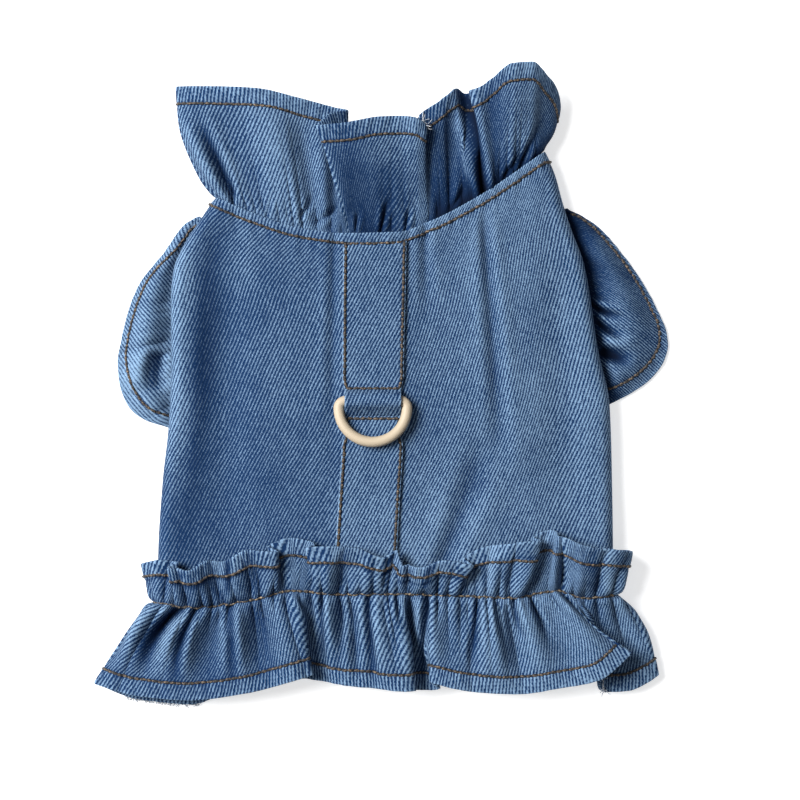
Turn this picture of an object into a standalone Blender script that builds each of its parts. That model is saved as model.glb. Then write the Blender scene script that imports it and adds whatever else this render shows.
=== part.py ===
"""Denim dress for a small dog, laid flat with its back up.

The body is a hollow tube of two panels: the back panel turns under at both sides and
laps over the belly panel, and the leg holes are left between them. A gathered collar
comes out of the neck, a flutter sleeve out of each leg hole, and a strip gathered along
one line makes both frills of the hem. A strap down the back holds the D-ring for a leash.

Metres, +Z up. The collar points to +Y, and the origin is on the floor under the middle.
"""

import math

import bpy
import numpy as np
from mathutils import Matrix, Vector

MM = 0.001

# Cloth
CLOTH = 1.0 * MM
GAP = 0.3 * MM
STEP = CLOTH + GAP

# Body
BODY_LENGTH = 146.0 * MM
BODY_HALF_WIDTH = 91.0 * MM
BODY_HEIGHT = 13.0 * MM
SIDE_RADIUS = 4.6 * MM
LIFT_START = 0.72
DENTS_FADE_FROM = 0.86
DENT_DEPTH = 1.6 * MM

# Side seams and leg holes, on the underside
SIDE_LAP = 8.0 * MM
SEAM_OVERLAP = 6.0 * MM
LEG_HOLE_WIDTH = 30.0 * MM

# Collar
COLLAR_DEPTH = 46.0 * MM
COLLAR_RISE = 22.0 * MM
COLLAR_TUCK = 5.0 * MM

# Hem ruffle: the short frill above its gathering line, and the skirt below it
FRILL_DEPTH = 16.0 * MM
FRILL_RISE = 8.0 * MM
SKIRT_DEPTH = 40.0 * MM
SKIRT_RISE = 18.0 * MM
# The body is fully lifted this many frill depths before the gathering line
LIFT_LEAD = 1.25

# Gathers: their height, and how far down a ruffle they reach as a share of its depth
GATHER_HEIGHT = 1.5 * MM
GATHER_REACH = 0.6
# Spread of the free edge, as a share of its seam, from which gathers show, and show fully
GATHERS_FROM = 0.3
GATHERS_FULL = 0.8

# How soon a ruffle turns outwards along Y and Z: 0 late, 1 at once
COLLAR_LEAN = (0.5, 0.8)
SKIRT_LEAN = (0.4, 0.7)
FRILL_LATE_SIDEWAYS = 1.5
FRILL_EARLY_OUT = 0.7

# Sleeves
SLEEVE_RISE = 6.0 * MM
SLEEVE_CLEAR = 2.4 * MM

# D-ring and strap
RING_INNER_WIDTH = 23.0 * MM
RING_WIRE = 4.2 * MM
RING_ARM = 2.8 * MM
RING_AT = 0.466
STRAP_WIDTH = 24.8 * MM
STRAP_END = 0.94
STRAP_UPPER_SLOPE = math.radians(60)
STRAP_LOWER_SLOPE = math.radians(45)
LOOP_CLEAR = 0.45 * MM


def table(columns, *rows):
    """A table as a dictionary: each column's name and its values."""
    return dict(zip(columns.split(), np.array(rows, float).T))


# Half widths of the body from neck (0) to gathering line (1), as shares of BODY_HALF_WIDTH
BODY_SECTIONS = table(
    "down left right",
    (0.00, 0.742, 0.698),
    (0.05, 0.802, 0.742),
    (0.12, 0.885, 0.780),
    (0.18, 0.932, 0.819),
    (0.25, 0.945, 0.871),
    (0.45, 0.945, 0.936),
    (0.57, 0.956, 0.985),
    (0.70, 0.981, 0.994),
    (0.85, 0.998, 0.998),
    (1.00, 1.005, 1.000),
)

# How far the neck edge runs above its middle, and the gathering line above its own:
# across in shares of BODY_HALF_WIDTH, up in shares of BODY_LENGTH
NECK_LINE = table(
    "across up",
    (-0.77, 0.105),
    (-0.60, 0.059),
    (-0.38, 0.014),
    (-0.18, -0.002),
    (0.06, 0.002),
    (0.19, 0.030),
    (0.41, 0.101),
    (0.70, 0.224),
)
GATHER_LINE = table(
    "across up",
    (-1.05, -0.012),
    (-0.83, -0.026),
    (-0.58, -0.005),
    (-0.41, 0.020),
    (-0.19, 0.010),
    (0.07, 0.011),
    (0.40, 0.004),
    (0.55, 0.000),
    (0.75, 0.019),
    (0.88, 0.000),
    (1.05, 0.012),
)

# Soft hollows (positive depth) and swells (negative) of the back
BODY_DENTS = table(
    "across down half_width half_length depth",
    (-0.74, 0.45, 0.15, 0.40, 1.0),
    (0.22, 0.22, 0.13, 0.25, 0.6),
    (0.80, 0.62, 0.11, 0.30, 0.7),
    (-0.40, 0.62, 0.26, 0.28, -0.4),
    (0.52, 0.55, 0.24, 0.35, -0.5),
)

# How deep the belly panel is scooped for a leg, as a share of LEG_HOLE_WIDTH
LEG_HOLE = table(
    "down scoop",
    (0.05, 0.00),
    (0.12, 0.62),
    (0.22, 0.96),
    (0.36, 1.00),
    (0.48, 0.70),
    (0.56, 0.00),
)

# Free edges of the ruffles. seam is the place along the seam that a row hangs from:
# 0 at the left side, 1 at the right side over the back, 2 at the left side again under the belly.
# across is in shares of BODY_HALF_WIDTH, out in shares of the ruffle's depth, and rise in
# shares of its rise. Where across turns back, the cloth folds over itself. lean tells how soon
# the cloth turns sideways on its way out: 0 late, 1 at once.
COLLAR_FOLDS = table(
    "seam across out rise lean",
    (0.000, -0.919, 1.282, 0.30, 1.00),
    (0.100, -0.740, 1.271, 0.56, 0.75),
    (0.210, -0.558, 1.247, 0.68, 0.45),
    (0.300, -0.382, 1.169, 0.60, 0.30),
    (0.352, -0.225, 1.090, 0.50, 0.28),
    (0.370, -0.166, 1.060, 0.60, 0.28),
    (0.386, -0.236, 1.030, 0.80, 0.28),
    (0.404, -0.299, 0.958, 0.94, 0.28),
    (0.432, -0.190, 0.948, 1.00, 0.26),
    (0.488, -0.031, 0.988, 0.94, 0.22),
    (0.560, 0.060, 0.997, 0.88, 0.18),
    (0.610, 0.125, 0.985, 0.92, 0.14),
    (0.635, 0.171, 0.930, 0.82, 0.12),
    (0.655, 0.145, 1.000, 0.60, 0.12),
    (0.690, 0.235, 1.139, 0.60, 0.16),
    (0.730, 0.312, 1.261, 0.40, 0.22),
    (0.752, 0.345, 1.220, 0.42, 0.26),
    (0.780, 0.392, 1.232, 0.74, 0.32),
    (0.815, 0.470, 1.330, 0.84, 0.40),
    (0.870, 0.550, 1.447, 0.94, 0.55),
    (0.930, 0.642, 1.464, 0.88, 0.70),
    (0.965, 0.705, 1.360, 0.66, 0.80),
    (0.985, 0.750, 1.260, 0.46, 0.85),
    (1.000, 0.774, 1.120, 0.28, 0.85),
    (1.060, 0.690, 1.160, 0.07, 0.80),
    (1.200, 0.460, 1.180, 0.02, 0.55),
    (1.350, 0.200, 1.000, 0.05, 0.35),
    (1.500, -0.060, 0.950, 0.02, 0.30),
    (1.650, -0.320, 1.000, 0.05, 0.35),
    (1.800, -0.600, 1.140, 0.02, 0.55),
    (1.930, -0.820, 1.200, 0.08, 0.90),
)
SKIRT_FOLDS = table(
    "seam across out rise lean",
    (0.000, -1.283, 0.885, 0.26, 0.60),
    (0.020, -1.225, 0.920, 0.42, 0.60),
    (0.050, -1.100, 0.985, 0.58, 0.54),
    (0.120, -0.866, 1.022, 0.76, 0.50),
    (0.200, -0.602, 0.945, 0.84, 0.32),
    (0.270, -0.382, 0.805, 1.00, 0.20),
    (0.300, -0.321, 0.765, 0.86, 0.15),
    (0.313, -0.360, 0.800, 0.64, 0.15),
    (0.330, -0.275, 0.845, 0.48, 0.15),
    (0.370, -0.185, 0.875, 0.66, 0.20),
    (0.430, -0.030, 0.905, 0.80, 0.25),
    (0.500, 0.085, 0.925, 0.97, 0.20),
    (0.525, 0.127, 0.925, 0.84, 0.15),
    (0.538, 0.098, 0.925, 0.60, 0.15),
    (0.557, 0.163, 0.935, 0.44, 0.15),
    (0.582, 0.238, 0.915, 0.58, 0.15),
    (0.600, 0.198, 0.835, 0.84, 0.16),
    (0.640, 0.299, 0.895, 1.00, 0.22),
    (0.690, 0.409, 0.935, 0.94, 0.30),
    (0.750, 0.585, 0.955, 0.88, 0.36),
    (0.800, 0.760, 0.895, 0.92, 0.40),
    (0.850, 0.936, 0.810, 1.00, 0.40),
    (0.880, 1.077, 0.550, 0.88, 0.36),
    (0.900, 1.015, 0.680, 0.70, 0.30),
    (0.922, 0.940, 0.880, 0.49, 0.26),
    (0.945, 0.972, 0.965, 0.34, 0.32),
    (0.972, 1.075, 0.950, 0.30, 0.55),
    (1.000, 1.205, 0.800, 0.22, 0.65),
    (1.050, 1.110, 0.780, 0.06, 0.50),
    (1.150, 0.800, 0.900, 0.10, 0.40),
    (1.280, 0.360, 0.840, 0.02, 0.30),
    (1.420, 0.000, 0.900, 0.11, 0.30),
    (1.560, -0.380, 0.840, 0.02, 0.30),
    (1.700, -0.690, 0.960, 0.10, 0.35),
    (1.820, -0.866, 1.100, 0.03, 0.50),
    (1.930, -1.110, 1.045, 0.03, 0.54),
    (1.975, -1.245, 0.930, 0.08, 0.60),
)

# The frill stands over the body, so its free edge is told by its place around the body:
# edge is that place, counted as seam is.
FRILL_FOLDS = table(
    "seam edge out rise",
    (0.000, 0.000, 0.875, 0.54),
    (0.025, 0.030, 0.990, 0.28),
    (0.046, 0.062, 1.000, 0.44),
    (0.062, 0.042, 0.860, 0.78),
    (0.100, 0.080, 0.840, 0.98),
    (0.140, 0.120, 1.040, 0.80),
    (0.180, 0.155, 1.000, 0.62),
    (0.230, 0.212, 1.190, 0.98),
    (0.262, 0.268, 1.060, 0.82),
    (0.280, 0.254, 1.200, 0.46),
    (0.306, 0.300, 1.330, 0.20),
    (0.330, 0.350, 1.250, 0.36),
    (0.346, 0.330, 1.130, 0.72),
    (0.380, 0.385, 1.240, 0.96),
    (0.440, 0.440, 1.200, 0.84),
    (0.490, 0.500, 0.940, 0.76),
    (0.512, 0.525, 1.130, 0.42),
    (0.535, 0.540, 0.740, 0.66),
    (0.580, 0.580, 0.720, 0.80),
    (0.620, 0.625, 0.860, 0.98),
    (0.655, 0.684, 0.760, 0.84),
    (0.675, 0.671, 0.900, 0.48),
    (0.712, 0.720, 1.160, 0.26),
    (0.762, 0.785, 1.200, 0.98),
    (0.792, 0.828, 1.120, 0.82),
    (0.812, 0.814, 1.230, 0.46),
    (0.830, 0.842, 1.280, 0.22),
    (0.846, 0.862, 1.240, 0.38),
    (0.868, 0.866, 1.140, 0.78),
    (0.900, 0.910, 1.120, 0.96),
    (0.950, 0.965, 0.980, 0.88),
    (1.000, 1.000, 0.900, 0.66),
    (1.025, 1.025, 0.900, 0.00),
    (1.300, 1.300, 0.960, 0.00),
    (1.500, 1.500, 1.080, 0.00),
    (1.700, 1.700, 0.960, 0.00),
    (1.975, 1.975, 0.960, 0.00),
)

# Outer edge of each sleeve. root is the place along the leg hole that a row grows from;
# across and down give the edge, in shares of BODY_HALF_WIDTH and BODY_LENGTH from the neck
LEFT_SLEEVE = table(
    "root across down",
    (0.075, -0.830, -0.050),
    (0.100, -0.892, -0.028),
    (0.150, -0.989, 0.053),
    (0.200, -1.094, 0.136),
    (0.255, -1.148, 0.219),
    (0.310, -1.179, 0.302),
    (0.350, -1.192, 0.350),
    (0.400, -1.182, 0.415),
    (0.450, -1.144, 0.476),
    (0.490, -1.068, 0.515),
    (0.520, -0.960, 0.535),
)
RIGHT_SLEEVE = table(
    "root across down",
    (0.095, 0.810, -0.068),
    (0.130, 0.925, -0.030),
    (0.175, 1.049, 0.053),
    (0.220, 1.144, 0.136),
    (0.270, 1.214, 0.219),
    (0.310, 1.246, 0.266),
    (0.345, 1.255, 0.307),
    (0.390, 1.237, 0.350),
    (0.435, 1.179, 0.400),
    (0.480, 1.090, 0.440),
    (0.520, 0.985, 0.474),
)

# Middle of the strap in shares of BODY_HALF_WIDTH, and its width in shares of STRAP_WIDTH
STRAP_PATH = table(
    "down middle width",
    (0.00, -0.046, 1.02),
    (0.18, -0.051, 1.01),
    (0.38, -0.055, 0.99),
    (0.57, -0.057, 0.99),
    (0.74, -0.072, 0.99),
    (0.94, -0.091, 1.00),
)

# How much the strap is drawn in to fit inside the ring, by the distance past the ring's bar
STRAP_NARROWS = table(
    "past_bar share",
    (-10.2 * MM, 0.0),
    (-3.2 * MM, 1.0),
    (13.5 * MM, 1.0),
    (18.0 * MM, 0.0),
)

# Grid counts and rows
BACK_TOP_CELLS = 16
SIDE_TURN_CELLS = 5
BELLY_CELLS = 8
HOLE_CELLS = 14
HOLE_MARGIN = 0.01
ROWS_ABOVE_LIFT = 7
# The third row of corners, in tucks of the collar below the neck edge
THIRD_ROW = 2.3
ROWS_OF_LIFT = 6
COLLAR_SPACING = 4.6 * MM
HEM_SPACING = 3.7 * MM
FOLD_CELLS = 3
LEAST_PIECE = 0.006
FINE_PLACES = 2000
UNDER_WEIGHT = 0.45
UNDER_MARGIN = 0.05
SLEEVE_CELLS = 14
SLEEVE_ROWS = np.array([0.0, 0.25, 0.45, 0.6, 0.75, 0.88, 1.0])
COLLAR_ROWS = np.array([0.0, 0.12, 0.3, 0.55, 0.78, 1.0])
SKIRT_ROWS = np.array([0.0, 0.12, 0.32, 0.55, 0.78, 1.0])
FRILL_ROWS = np.array([1.0, 0.6, 0.2])
STRAP_LOOP_ROWS = MM * np.array([-7.0, -4.3, -3.4, -2.5, -1.3, 0, 1.1, 2.1, 3.8, 5.7, 9, 13.5, 18])
STRAP_CELLS = 4
LOOP_MARGIN = 0.01
RING_SIDES = 12
RING_ARC_CELLS = 19
RING_CORNER_CELLS = 3

DENIM_BLUE = (0.105, 0.215, 0.370, 1.0)
CREAM = (0.780, 0.680, 0.520, 1.0)


# Curves through a table's rows


def through(knots, values, at):
    """Monotone cubic curve through the rows, which never overshoots a row's own value."""
    at = np.clip(np.asarray(at, float), knots[0], knots[-1])
    width = np.diff(knots)
    slope = np.diff(values) / width
    tangent = np.zeros(len(knots))
    tangent[0], tangent[-1] = slope[0], slope[-1]
    before, after = slope[:-1], slope[1:]
    near, far = 2 * width[1:] + width[:-1], width[1:] + 2 * width[:-1]
    same_way = before * after > 0
    blend = near[same_way] / before[same_way] + far[same_way] / after[same_way]
    tangent[1:-1][same_way] = (near + far)[same_way] / blend
    cell = np.clip(np.searchsorted(knots, at, side="right") - 1, 0, len(width) - 1)
    t = (at - knots[cell]) / width[cell]
    start, end = values[cell], values[cell + 1]
    leave, arrive = tangent[cell] * width[cell], tangent[cell + 1] * width[cell]
    return (
        start * (1 + 2 * t) * (1 - t) ** 2
        + leave * t * (1 - t) ** 2
        + end * t**2 * (3 - 2 * t)
        - arrive * t**2 * (1 - t)
    )


def around_ring(folds, column, at):
    """The same curve through a ruffle's rows, closed into a ring of two halves."""
    knots = np.concatenate([folds["seam"] - 2, folds["seam"], folds["seam"] + 2])
    values = folds[column]
    turn = 2.0 if column == "edge" else 0.0
    values = np.concatenate([values - turn, values, values + turn])
    return through(knots, values, at)


def eased(x):
    """0 below 0, 1 above 1, and a smooth step between."""
    x = np.clip(x, 0.0, 1.0)
    return x * x * (3 - 2 * x)


# Surface of the body


def layer(count):
    """Height of the middle of a cloth with that many cloths under it on the floor."""
    return CLOTH / 2 + count * STEP


def neck_y(x):
    return BODY_LENGTH * (
        1 + through(NECK_LINE["across"], NECK_LINE["up"], x / BODY_HALF_WIDTH)
    )


def gather_y(x):
    return BODY_LENGTH * through(
        GATHER_LINE["across"], GATHER_LINE["up"], x / BODY_HALF_WIDTH
    )


def hem_lift(down):
    """How far the body is lifted where the hem ruffle lies below it."""
    full = 1 - LIFT_LEAD * FRILL_DEPTH / BODY_LENGTH
    return STEP * eased((down - LIFT_START) / (full - LIFT_START))


def body_width(down):
    """The middle and the half width of the body."""
    left = BODY_HALF_WIDTH * through(BODY_SECTIONS["down"], BODY_SECTIONS["left"], down)
    right = BODY_HALF_WIDTH * through(
        BODY_SECTIONS["down"], BODY_SECTIONS["right"], down
    )
    return (right - left) / 2, (right + left) / 2


def side_turn(half):
    """Share of a quarter of the section that one half of the side's round turn takes."""
    quarter_turn = math.pi / 2 * SIDE_RADIUS
    return quarter_turn / (half - SIDE_RADIUS + quarter_turn)


def dents(x, down):
    """Depth of the soft hollows of the back, as a sum of smooth bells."""
    depth = np.zeros(np.broadcast(x, down).shape)
    for across, at, half_width, half_length, share in zip(*BODY_DENTS.values()):
        away = ((x / BODY_HALF_WIDTH - across) / half_width) ** 2
        depth += share * np.exp(-away - ((down - at) / half_length) ** 2)
    return DENT_DEPTH * depth


def body_surface(around, down):
    """Point of the body's middle surface.

    around goes round the section: 0 on top, 1 and -1 at the sides, 2 under the belly.
    down goes along the body: 0 at the neck, 1 at the gathering line.
    """
    around, down = np.broadcast_arrays(around, down)
    around = (around + 2) % 4 - 2
    middle, half = body_width(down)
    flat = half - SIDE_RADIUS
    turn = side_turn(half)
    away = np.abs(around)
    angle = math.pi * np.clip((away - 1 + turn) / (2 * turn), 0, 1)
    along = np.clip(np.where(away < 1, away, 2 - away) / (1 - turn), 0, 1)
    x = middle + np.sign(around) * (flat * along + SIDE_RADIUS * np.sin(angle))
    crown = BODY_HEIGHT - CLOTH / 2 - layer(1) - 2 * SIDE_RADIUS
    swell = np.where(away < 1, crown * (0.5 + 0.5 * np.cos(math.pi * along)), 0.0)
    fade = np.where(away < 1, 1 - eased((along - DENTS_FADE_FROM) / (1 - DENTS_FADE_FROM)), 0.0)
    z = layer(1) + hem_lift(down) + SIDE_RADIUS * (1 + np.cos(angle))
    z = z + swell - dents(x, down) * fade
    y = neck_y(x) + (gather_y(x) - neck_y(x)) * down
    return np.stack([x, y, z], axis=-1)


def body_point(around, down, outset=0.0):
    """Point at the distance outset from the body's middle surface, along its normal."""
    around, down = np.broadcast_arrays(around, down)
    near = 1e-4
    across = body_surface(around + near, down) - body_surface(around - near, down)
    along = body_surface(around, down + near) - body_surface(around, down - near)
    normal = np.cross(along, across)
    normal /= np.linalg.norm(normal, axis=-1, keepdims=True)
    return body_surface(around, down) + normal * np.asarray(outset)[..., None]


def top_around(x, down):
    """Place around the section of a point on the back at that x."""
    middle, half = body_width(down)
    return (x - middle) / (half - SIDE_RADIUS) * (1 - side_turn(half))


def seam_point(seam, down, outset):
    """Body point at a place along a seam: 0 left, 1 right over the back, 2 left again."""
    return body_point(2 * np.asarray(seam) - 1, down, outset)


def hem_outset(seam):
    """One cloth out from the back, and two out from the underside, where two panels lap."""
    under = np.abs((2 * np.asarray(seam) + 1) % 4 - 2)
    turn = side_turn(body_width(1.0)[1])
    ease = GAP * np.exp(-(((under - 1) / turn) ** 2))
    return STEP * (1 + eased((under - 1) / turn)) + ease


# Cloth solids


def normals_of(points, ring):
    """Unit normals of a grid of points, from the lines through each point's neighbours."""
    if ring:
        wide = np.concatenate([points[-1:], points, points[:1]])
        along = wide[2:] - wide[:-2]
    else:
        along = np.gradient(points, axis=0)
    across = np.gradient(points, axis=1)
    normal = np.cross(along, across)
    return normal / np.maximum(np.linalg.norm(normal, axis=-1, keepdims=True), 1e-12)


def strip(lower, upper):
    """Quads between two rows of corners."""
    return np.stack([lower[:-1], lower[1:], upper[1:], upper[:-1]], axis=-1).reshape(-1, 4)


def cloth_solid(name, points, ring=False):
    """A closed wall, CLOTH thick, around the middle surface given as a grid of points."""
    count, depth = points.shape[:2]
    normal = normals_of(points, ring)
    upper, lower = points + normal * CLOTH / 2, points - normal * CLOTH / 2
    verts = np.concatenate([upper.reshape(-1, 3), lower.reshape(-1, 3)])
    under = count * depth
    grid = np.arange(under).reshape(count, depth)
    wide = np.concatenate([grid, grid[:1]]) if ring else grid
    first, last = wide[:, 0], wide[:, -1]
    top = strip(wide[:, :-1], wide[:, 1:])
    faces = [top, top[:, ::-1] + under, strip(first + under, first), strip(last, last + under)]
    if not ring:
        start, end = grid[0], grid[-1, ::-1]
        faces.extend([strip(start, start + under), strip(end, end + under)])
    mesh = bpy.data.meshes.new(name)
    mesh.from_pydata(verts.tolist(), [], np.concatenate(faces).tolist())
    mesh.validate()
    mesh.shade_smooth()
    mesh.set_sharp_from_angle(angle=math.radians(50))
    return place(name, mesh, DENIM)


def place(name, mesh, material):
    obj = bpy.data.objects.new(name, mesh)
    mesh.materials.append(material)
    bpy.context.scene.collection.objects.link(obj)
    return obj


def finish(name, colour, roughness):
    """A Principled material."""
    material = bpy.data.materials.new(name)
    material.use_nodes = True
    shader = material.node_tree.nodes["Principled BSDF"]
    shader.inputs["Base Color"].default_value = colour
    shader.inputs["Roughness"].default_value = roughness
    shader.inputs["Metallic"].default_value = 0.0
    return material


# Body panels


def lap_end(down):
    """Place around the section where the back panel ends, SIDE_LAP in under the body."""
    half = body_width(down)[1]
    turn = side_turn(half)
    return 1 + turn + (1 - turn) * SIDE_LAP / (half - SIDE_RADIUS)


def body_rows():
    """Places down the body of its rows of corners, closer together where it is lifted."""
    tuck = COLLAR_TUCK / BODY_LENGTH
    above = np.linspace(THIRD_ROW * tuck, LIFT_START, ROWS_ABOVE_LIFT + 1)
    below = np.linspace(LIFT_START, 1.0, ROWS_OF_LIFT + 1)
    return np.concatenate([[0.0, tuck], above[:-1], below])


def back_panel():
    """The top of the tube, round both sides and a little way in under it."""
    rows = []
    for down in body_rows():
        turn, end = side_turn(body_width(down)[1]), lap_end(down)
        side = np.linspace(1 - turn, 1 + turn, SIDE_TURN_CELLS + 1)
        top = np.linspace(-(1 - turn), 1 - turn, BACK_TOP_CELLS + 1)
        around = np.concatenate([[-end], -side[:0:-1], top, side[1:], [end]])
        rows.append(body_point(around, down))
    return cloth_solid("back_panel", np.stack(rows, axis=1)[::-1])


def belly_edge(down):
    """Half width of the belly panel, scooped for the legs."""
    half = body_width(down)[1]
    full = half - SIDE_RADIUS - SIDE_LAP + SEAM_OVERLAP
    scoop = through(LEG_HOLE["down"], LEG_HOLE["scoop"], down)
    return full - LEG_HOLE_WIDTH * scoop


def belly_panel():
    """The underside of the tube: flat on the floor, lifted over the hem ruffle."""
    hole = np.linspace(LEG_HOLE["down"][0], LEG_HOLE["down"][-1], HOLE_CELLS + 1)
    rows = body_rows()
    clear = (rows < hole[0] - HOLE_MARGIN) | (rows > hole[-1] + HOLE_MARGIN)
    down = np.sort(np.concatenate([hole, rows[clear]]))
    across = np.linspace(-1, 1, BELLY_CELLS + 1)[:, None]
    x = body_width(down)[0] + across * belly_edge(down)
    y = neck_y(x) + (gather_y(x) - neck_y(x)) * down
    z = layer(0) + hem_lift(down) + 0 * x
    return cloth_solid("belly_panel", np.stack([x, y, z], axis=-1)[::-1])


# Ruffles


def turns(folds, column):
    """Seam places of the rows over the back where a free edge turns back, or forward again."""
    run = np.diff(folds[column])
    rows = folds["seam"][1:-1][run[1:] * run[:-1] < 0]
    return rows[rows < 1]


def places(spacing, edges, turned):
    """Places along a seam for a ruffle's columns, an even count of them.

    They stand evenly along the free edges, further apart under the belly. Every turn of an
    edge gets a column, and each piece between two turns at least FOLD_CELLS cells.
    """
    at = np.linspace(0, 2, FINE_PLACES + 1)
    length = sum(np.linalg.norm(np.diff(edge(at), axis=0), axis=1) for edge in edges)
    under = (at > 1 + UNDER_MARGIN) & (at < 2 - UNDER_MARGIN)
    weight = np.where(under, UNDER_WEIGHT, 1.0)[1:]
    run = np.concatenate([[0.0], np.cumsum(length * weight)]) / len(edges)
    knots = np.unique(np.concatenate([[0.0, 1.0, 2.0], *turned]))
    knots = knots[np.concatenate([[True], np.diff(knots) > LEAST_PIECE])]
    made = []
    for start, end in zip(knots[:-1], knots[1:]):
        first, last = np.interp([start, end], at, run)
        cells = max(FOLD_CELLS, round((last - first) / spacing))
        made.extend(np.interp(np.linspace(first, last, cells + 1)[:-1], run, at))
    if len(made) % 2:
        made.append((made[-1] + 2.0) / 2)
    return np.array(made)


def gathers(seam, edge, away):
    """Small pleats: every other column is raised, most near the seam and none far from it.

    They fade out where the free edge is drawn together or folds back.
    """
    raised = np.arange(len(seam))[:, None] % 2
    spread = np.gradient(edge) / np.gradient(seam)
    calm = np.clip((spread - GATHERS_FROM) / (GATHERS_FULL - GATHERS_FROM), 0, 1)[:, None]
    start = np.clip(away / SKIRT_ROWS[1], 0, 1)
    return GATHER_HEIGHT * raised * calm * start * (1 - eased(away / GATHER_REACH))


def swept(seam, edge, sideways, lean, away):
    """Curves from the seam to the free edge, one to each column.

    sideways and lean set how soon a curve turns along X, and along Y and Z.
    """
    control = seam + (edge - seam) * np.insert(np.tile(lean, (len(seam), 1)), 0, sideways, axis=1)
    t = away[None, :, None]
    return (
        (1 - t) ** 2 * seam[:, None]
        + 2 * t * (1 - t) * control[:, None]
        + t**2 * edge[:, None]
    )


def free_edge(folds, at, start, depth, rise):
    """The free edge of a ruffle from its table of folds."""
    x = BODY_HALF_WIDTH * around_ring(folds, "across", at)
    y = start + depth * around_ring(folds, "out", at)
    z = layer(0) + rise * around_ring(folds, "rise", at)
    return np.stack([x, y, z], axis=-1)


def pleated(points, away, side):
    """The grid with its gathers raised along the surface's own normals, down to the floor.

    side is the sign of the normal that points out of the dress.
    """
    pleats = gathers(points[:, 0, 0], points[:, -1, 0], away)
    points = points + side * normals_of(points, ring=True) * pleats[..., None]
    points[..., 2] = np.maximum(points[..., 2], layer(0))
    return points


def collar_edge(at):
    return free_edge(COLLAR_FOLDS, at, BODY_LENGTH, COLLAR_DEPTH, COLLAR_RISE)


def collar_places():
    return places(COLLAR_SPACING, [collar_edge], [turns(COLLAR_FOLDS, "across")])


def collar():
    """Tucked into the neck all round, then flared to its free edge."""
    at = collar_places()
    tucked = seam_point(at, COLLAR_TUCK / BODY_LENGTH, -STEP - GAP)
    seam = seam_point(at, 0.0, -STEP - GAP)
    sideways = around_ring(COLLAR_FOLDS, "lean", at)
    flared = swept(seam, collar_edge(at), sideways, COLLAR_LEAN, COLLAR_ROWS)
    flared = pleated(flared, COLLAR_ROWS, side=1)
    grid = np.concatenate([tucked[:, None], flared], axis=1)
    return cloth_solid("collar_ruffle", grid, ring=True)


def skirt_edge(at):
    return free_edge(SKIRT_FOLDS, at, 0.0, -SKIRT_DEPTH, SKIRT_RISE)


def frill_rows(at, up):
    """Rows of the frill, up from the gathering line (0) to its free edge (1)."""
    edge, out, rise = (around_ring(FRILL_FOLDS, c, at)[:, None] for c in ("edge", "out", "rise"))
    place_up = at[:, None] + (edge - at[:, None]) * up**FRILL_LATE_SIDEWAYS
    off = hem_outset(at)[:, None] + FRILL_RISE * rise * up**FRILL_EARLY_OUT
    off = off + np.clip(rise, 0, 1) * gathers(at, edge[:, 0], up)
    rows = seam_point(place_up, 1 - up * out * FRILL_DEPTH / BODY_LENGTH, off)
    rows[..., 2] = np.maximum(rows[..., 2], layer(0))
    return rows


def frill_edge(at):
    return frill_rows(at, np.array([1.0]))[:, 0]


def hem_places():
    turned = [turns(SKIRT_FOLDS, "across"), turns(FRILL_FOLDS, "edge")]
    return places(HEM_SPACING, [skirt_edge, frill_edge], turned)


def hem_ruffle():
    """One strip gathered along a line round the body: the frill above it, the skirt below."""
    at = hem_places()
    frill = frill_rows(at, FRILL_ROWS)
    seam = seam_point(at, 1.0, hem_outset(at))
    sideways = around_ring(SKIRT_FOLDS, "lean", at)
    skirt = swept(seam, skirt_edge(at), sideways, SKIRT_LEAN, SKIRT_ROWS)
    skirt = pleated(skirt, SKIRT_ROWS, side=-1)
    grid = np.concatenate([frill, skirt], axis=1)
    return cloth_solid("hem_ruffle", grid[:, ::-1], ring=True)


# Sleeves


def sleeve(name, side, outline):
    """A half-moon flap that grows from the leg hole, passes under the body's side and swells."""
    root = np.linspace(outline["root"][0], outline["root"][-1], SLEEVE_CELLS + 1)
    lap = body_surface(side * lap_end(root), root)[:, 0]
    bib = body_width(root)[0] + side * (belly_edge(root) + SLEEVE_CLEAR)
    x = np.where(side * bib > side * lap, bib, lap)
    y = neck_y(x) + (gather_y(x) - neck_y(x)) * root
    start = np.stack([x, y, np.full(len(root), layer(0))], axis=-1)
    edge_x = BODY_HALF_WIDTH * through(outline["root"], outline["across"], root)
    edge_y = BODY_LENGTH * (1 - through(outline["root"], outline["down"], root))
    edge = np.stack([edge_x, edge_y, np.full(len(root), layer(0))], axis=-1)
    grid = start[:, None] + (edge - start)[:, None] * SLEEVE_ROWS[:, None]
    body_side = side * body_surface(side * 1.0, root)[:, None, 0]
    beyond = np.maximum(side * grid[..., 0] - body_side, 0)
    most = np.maximum(beyond[:, -1:], 1e-6)
    grid[..., 2] += SLEEVE_RISE * (most / most.max()) * np.sin(math.pi * beyond / most) ** 2
    return cloth_solid(name, grid[::-1] if side > 0 else grid)


# Strap and D-ring


def ring_seat():
    """Centre of the ring's bar on the back, and the body's length down the strap's middle."""
    x = BODY_HALF_WIDTH * through(STRAP_PATH["down"], STRAP_PATH["middle"], RING_AT)
    length = neck_y(x) - gather_y(x)
    bar = body_point(
        top_around(x, RING_AT), RING_AT, CLOTH / 2 + GAP + RING_WIRE / 2
    )
    return bar, float(length)


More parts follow.
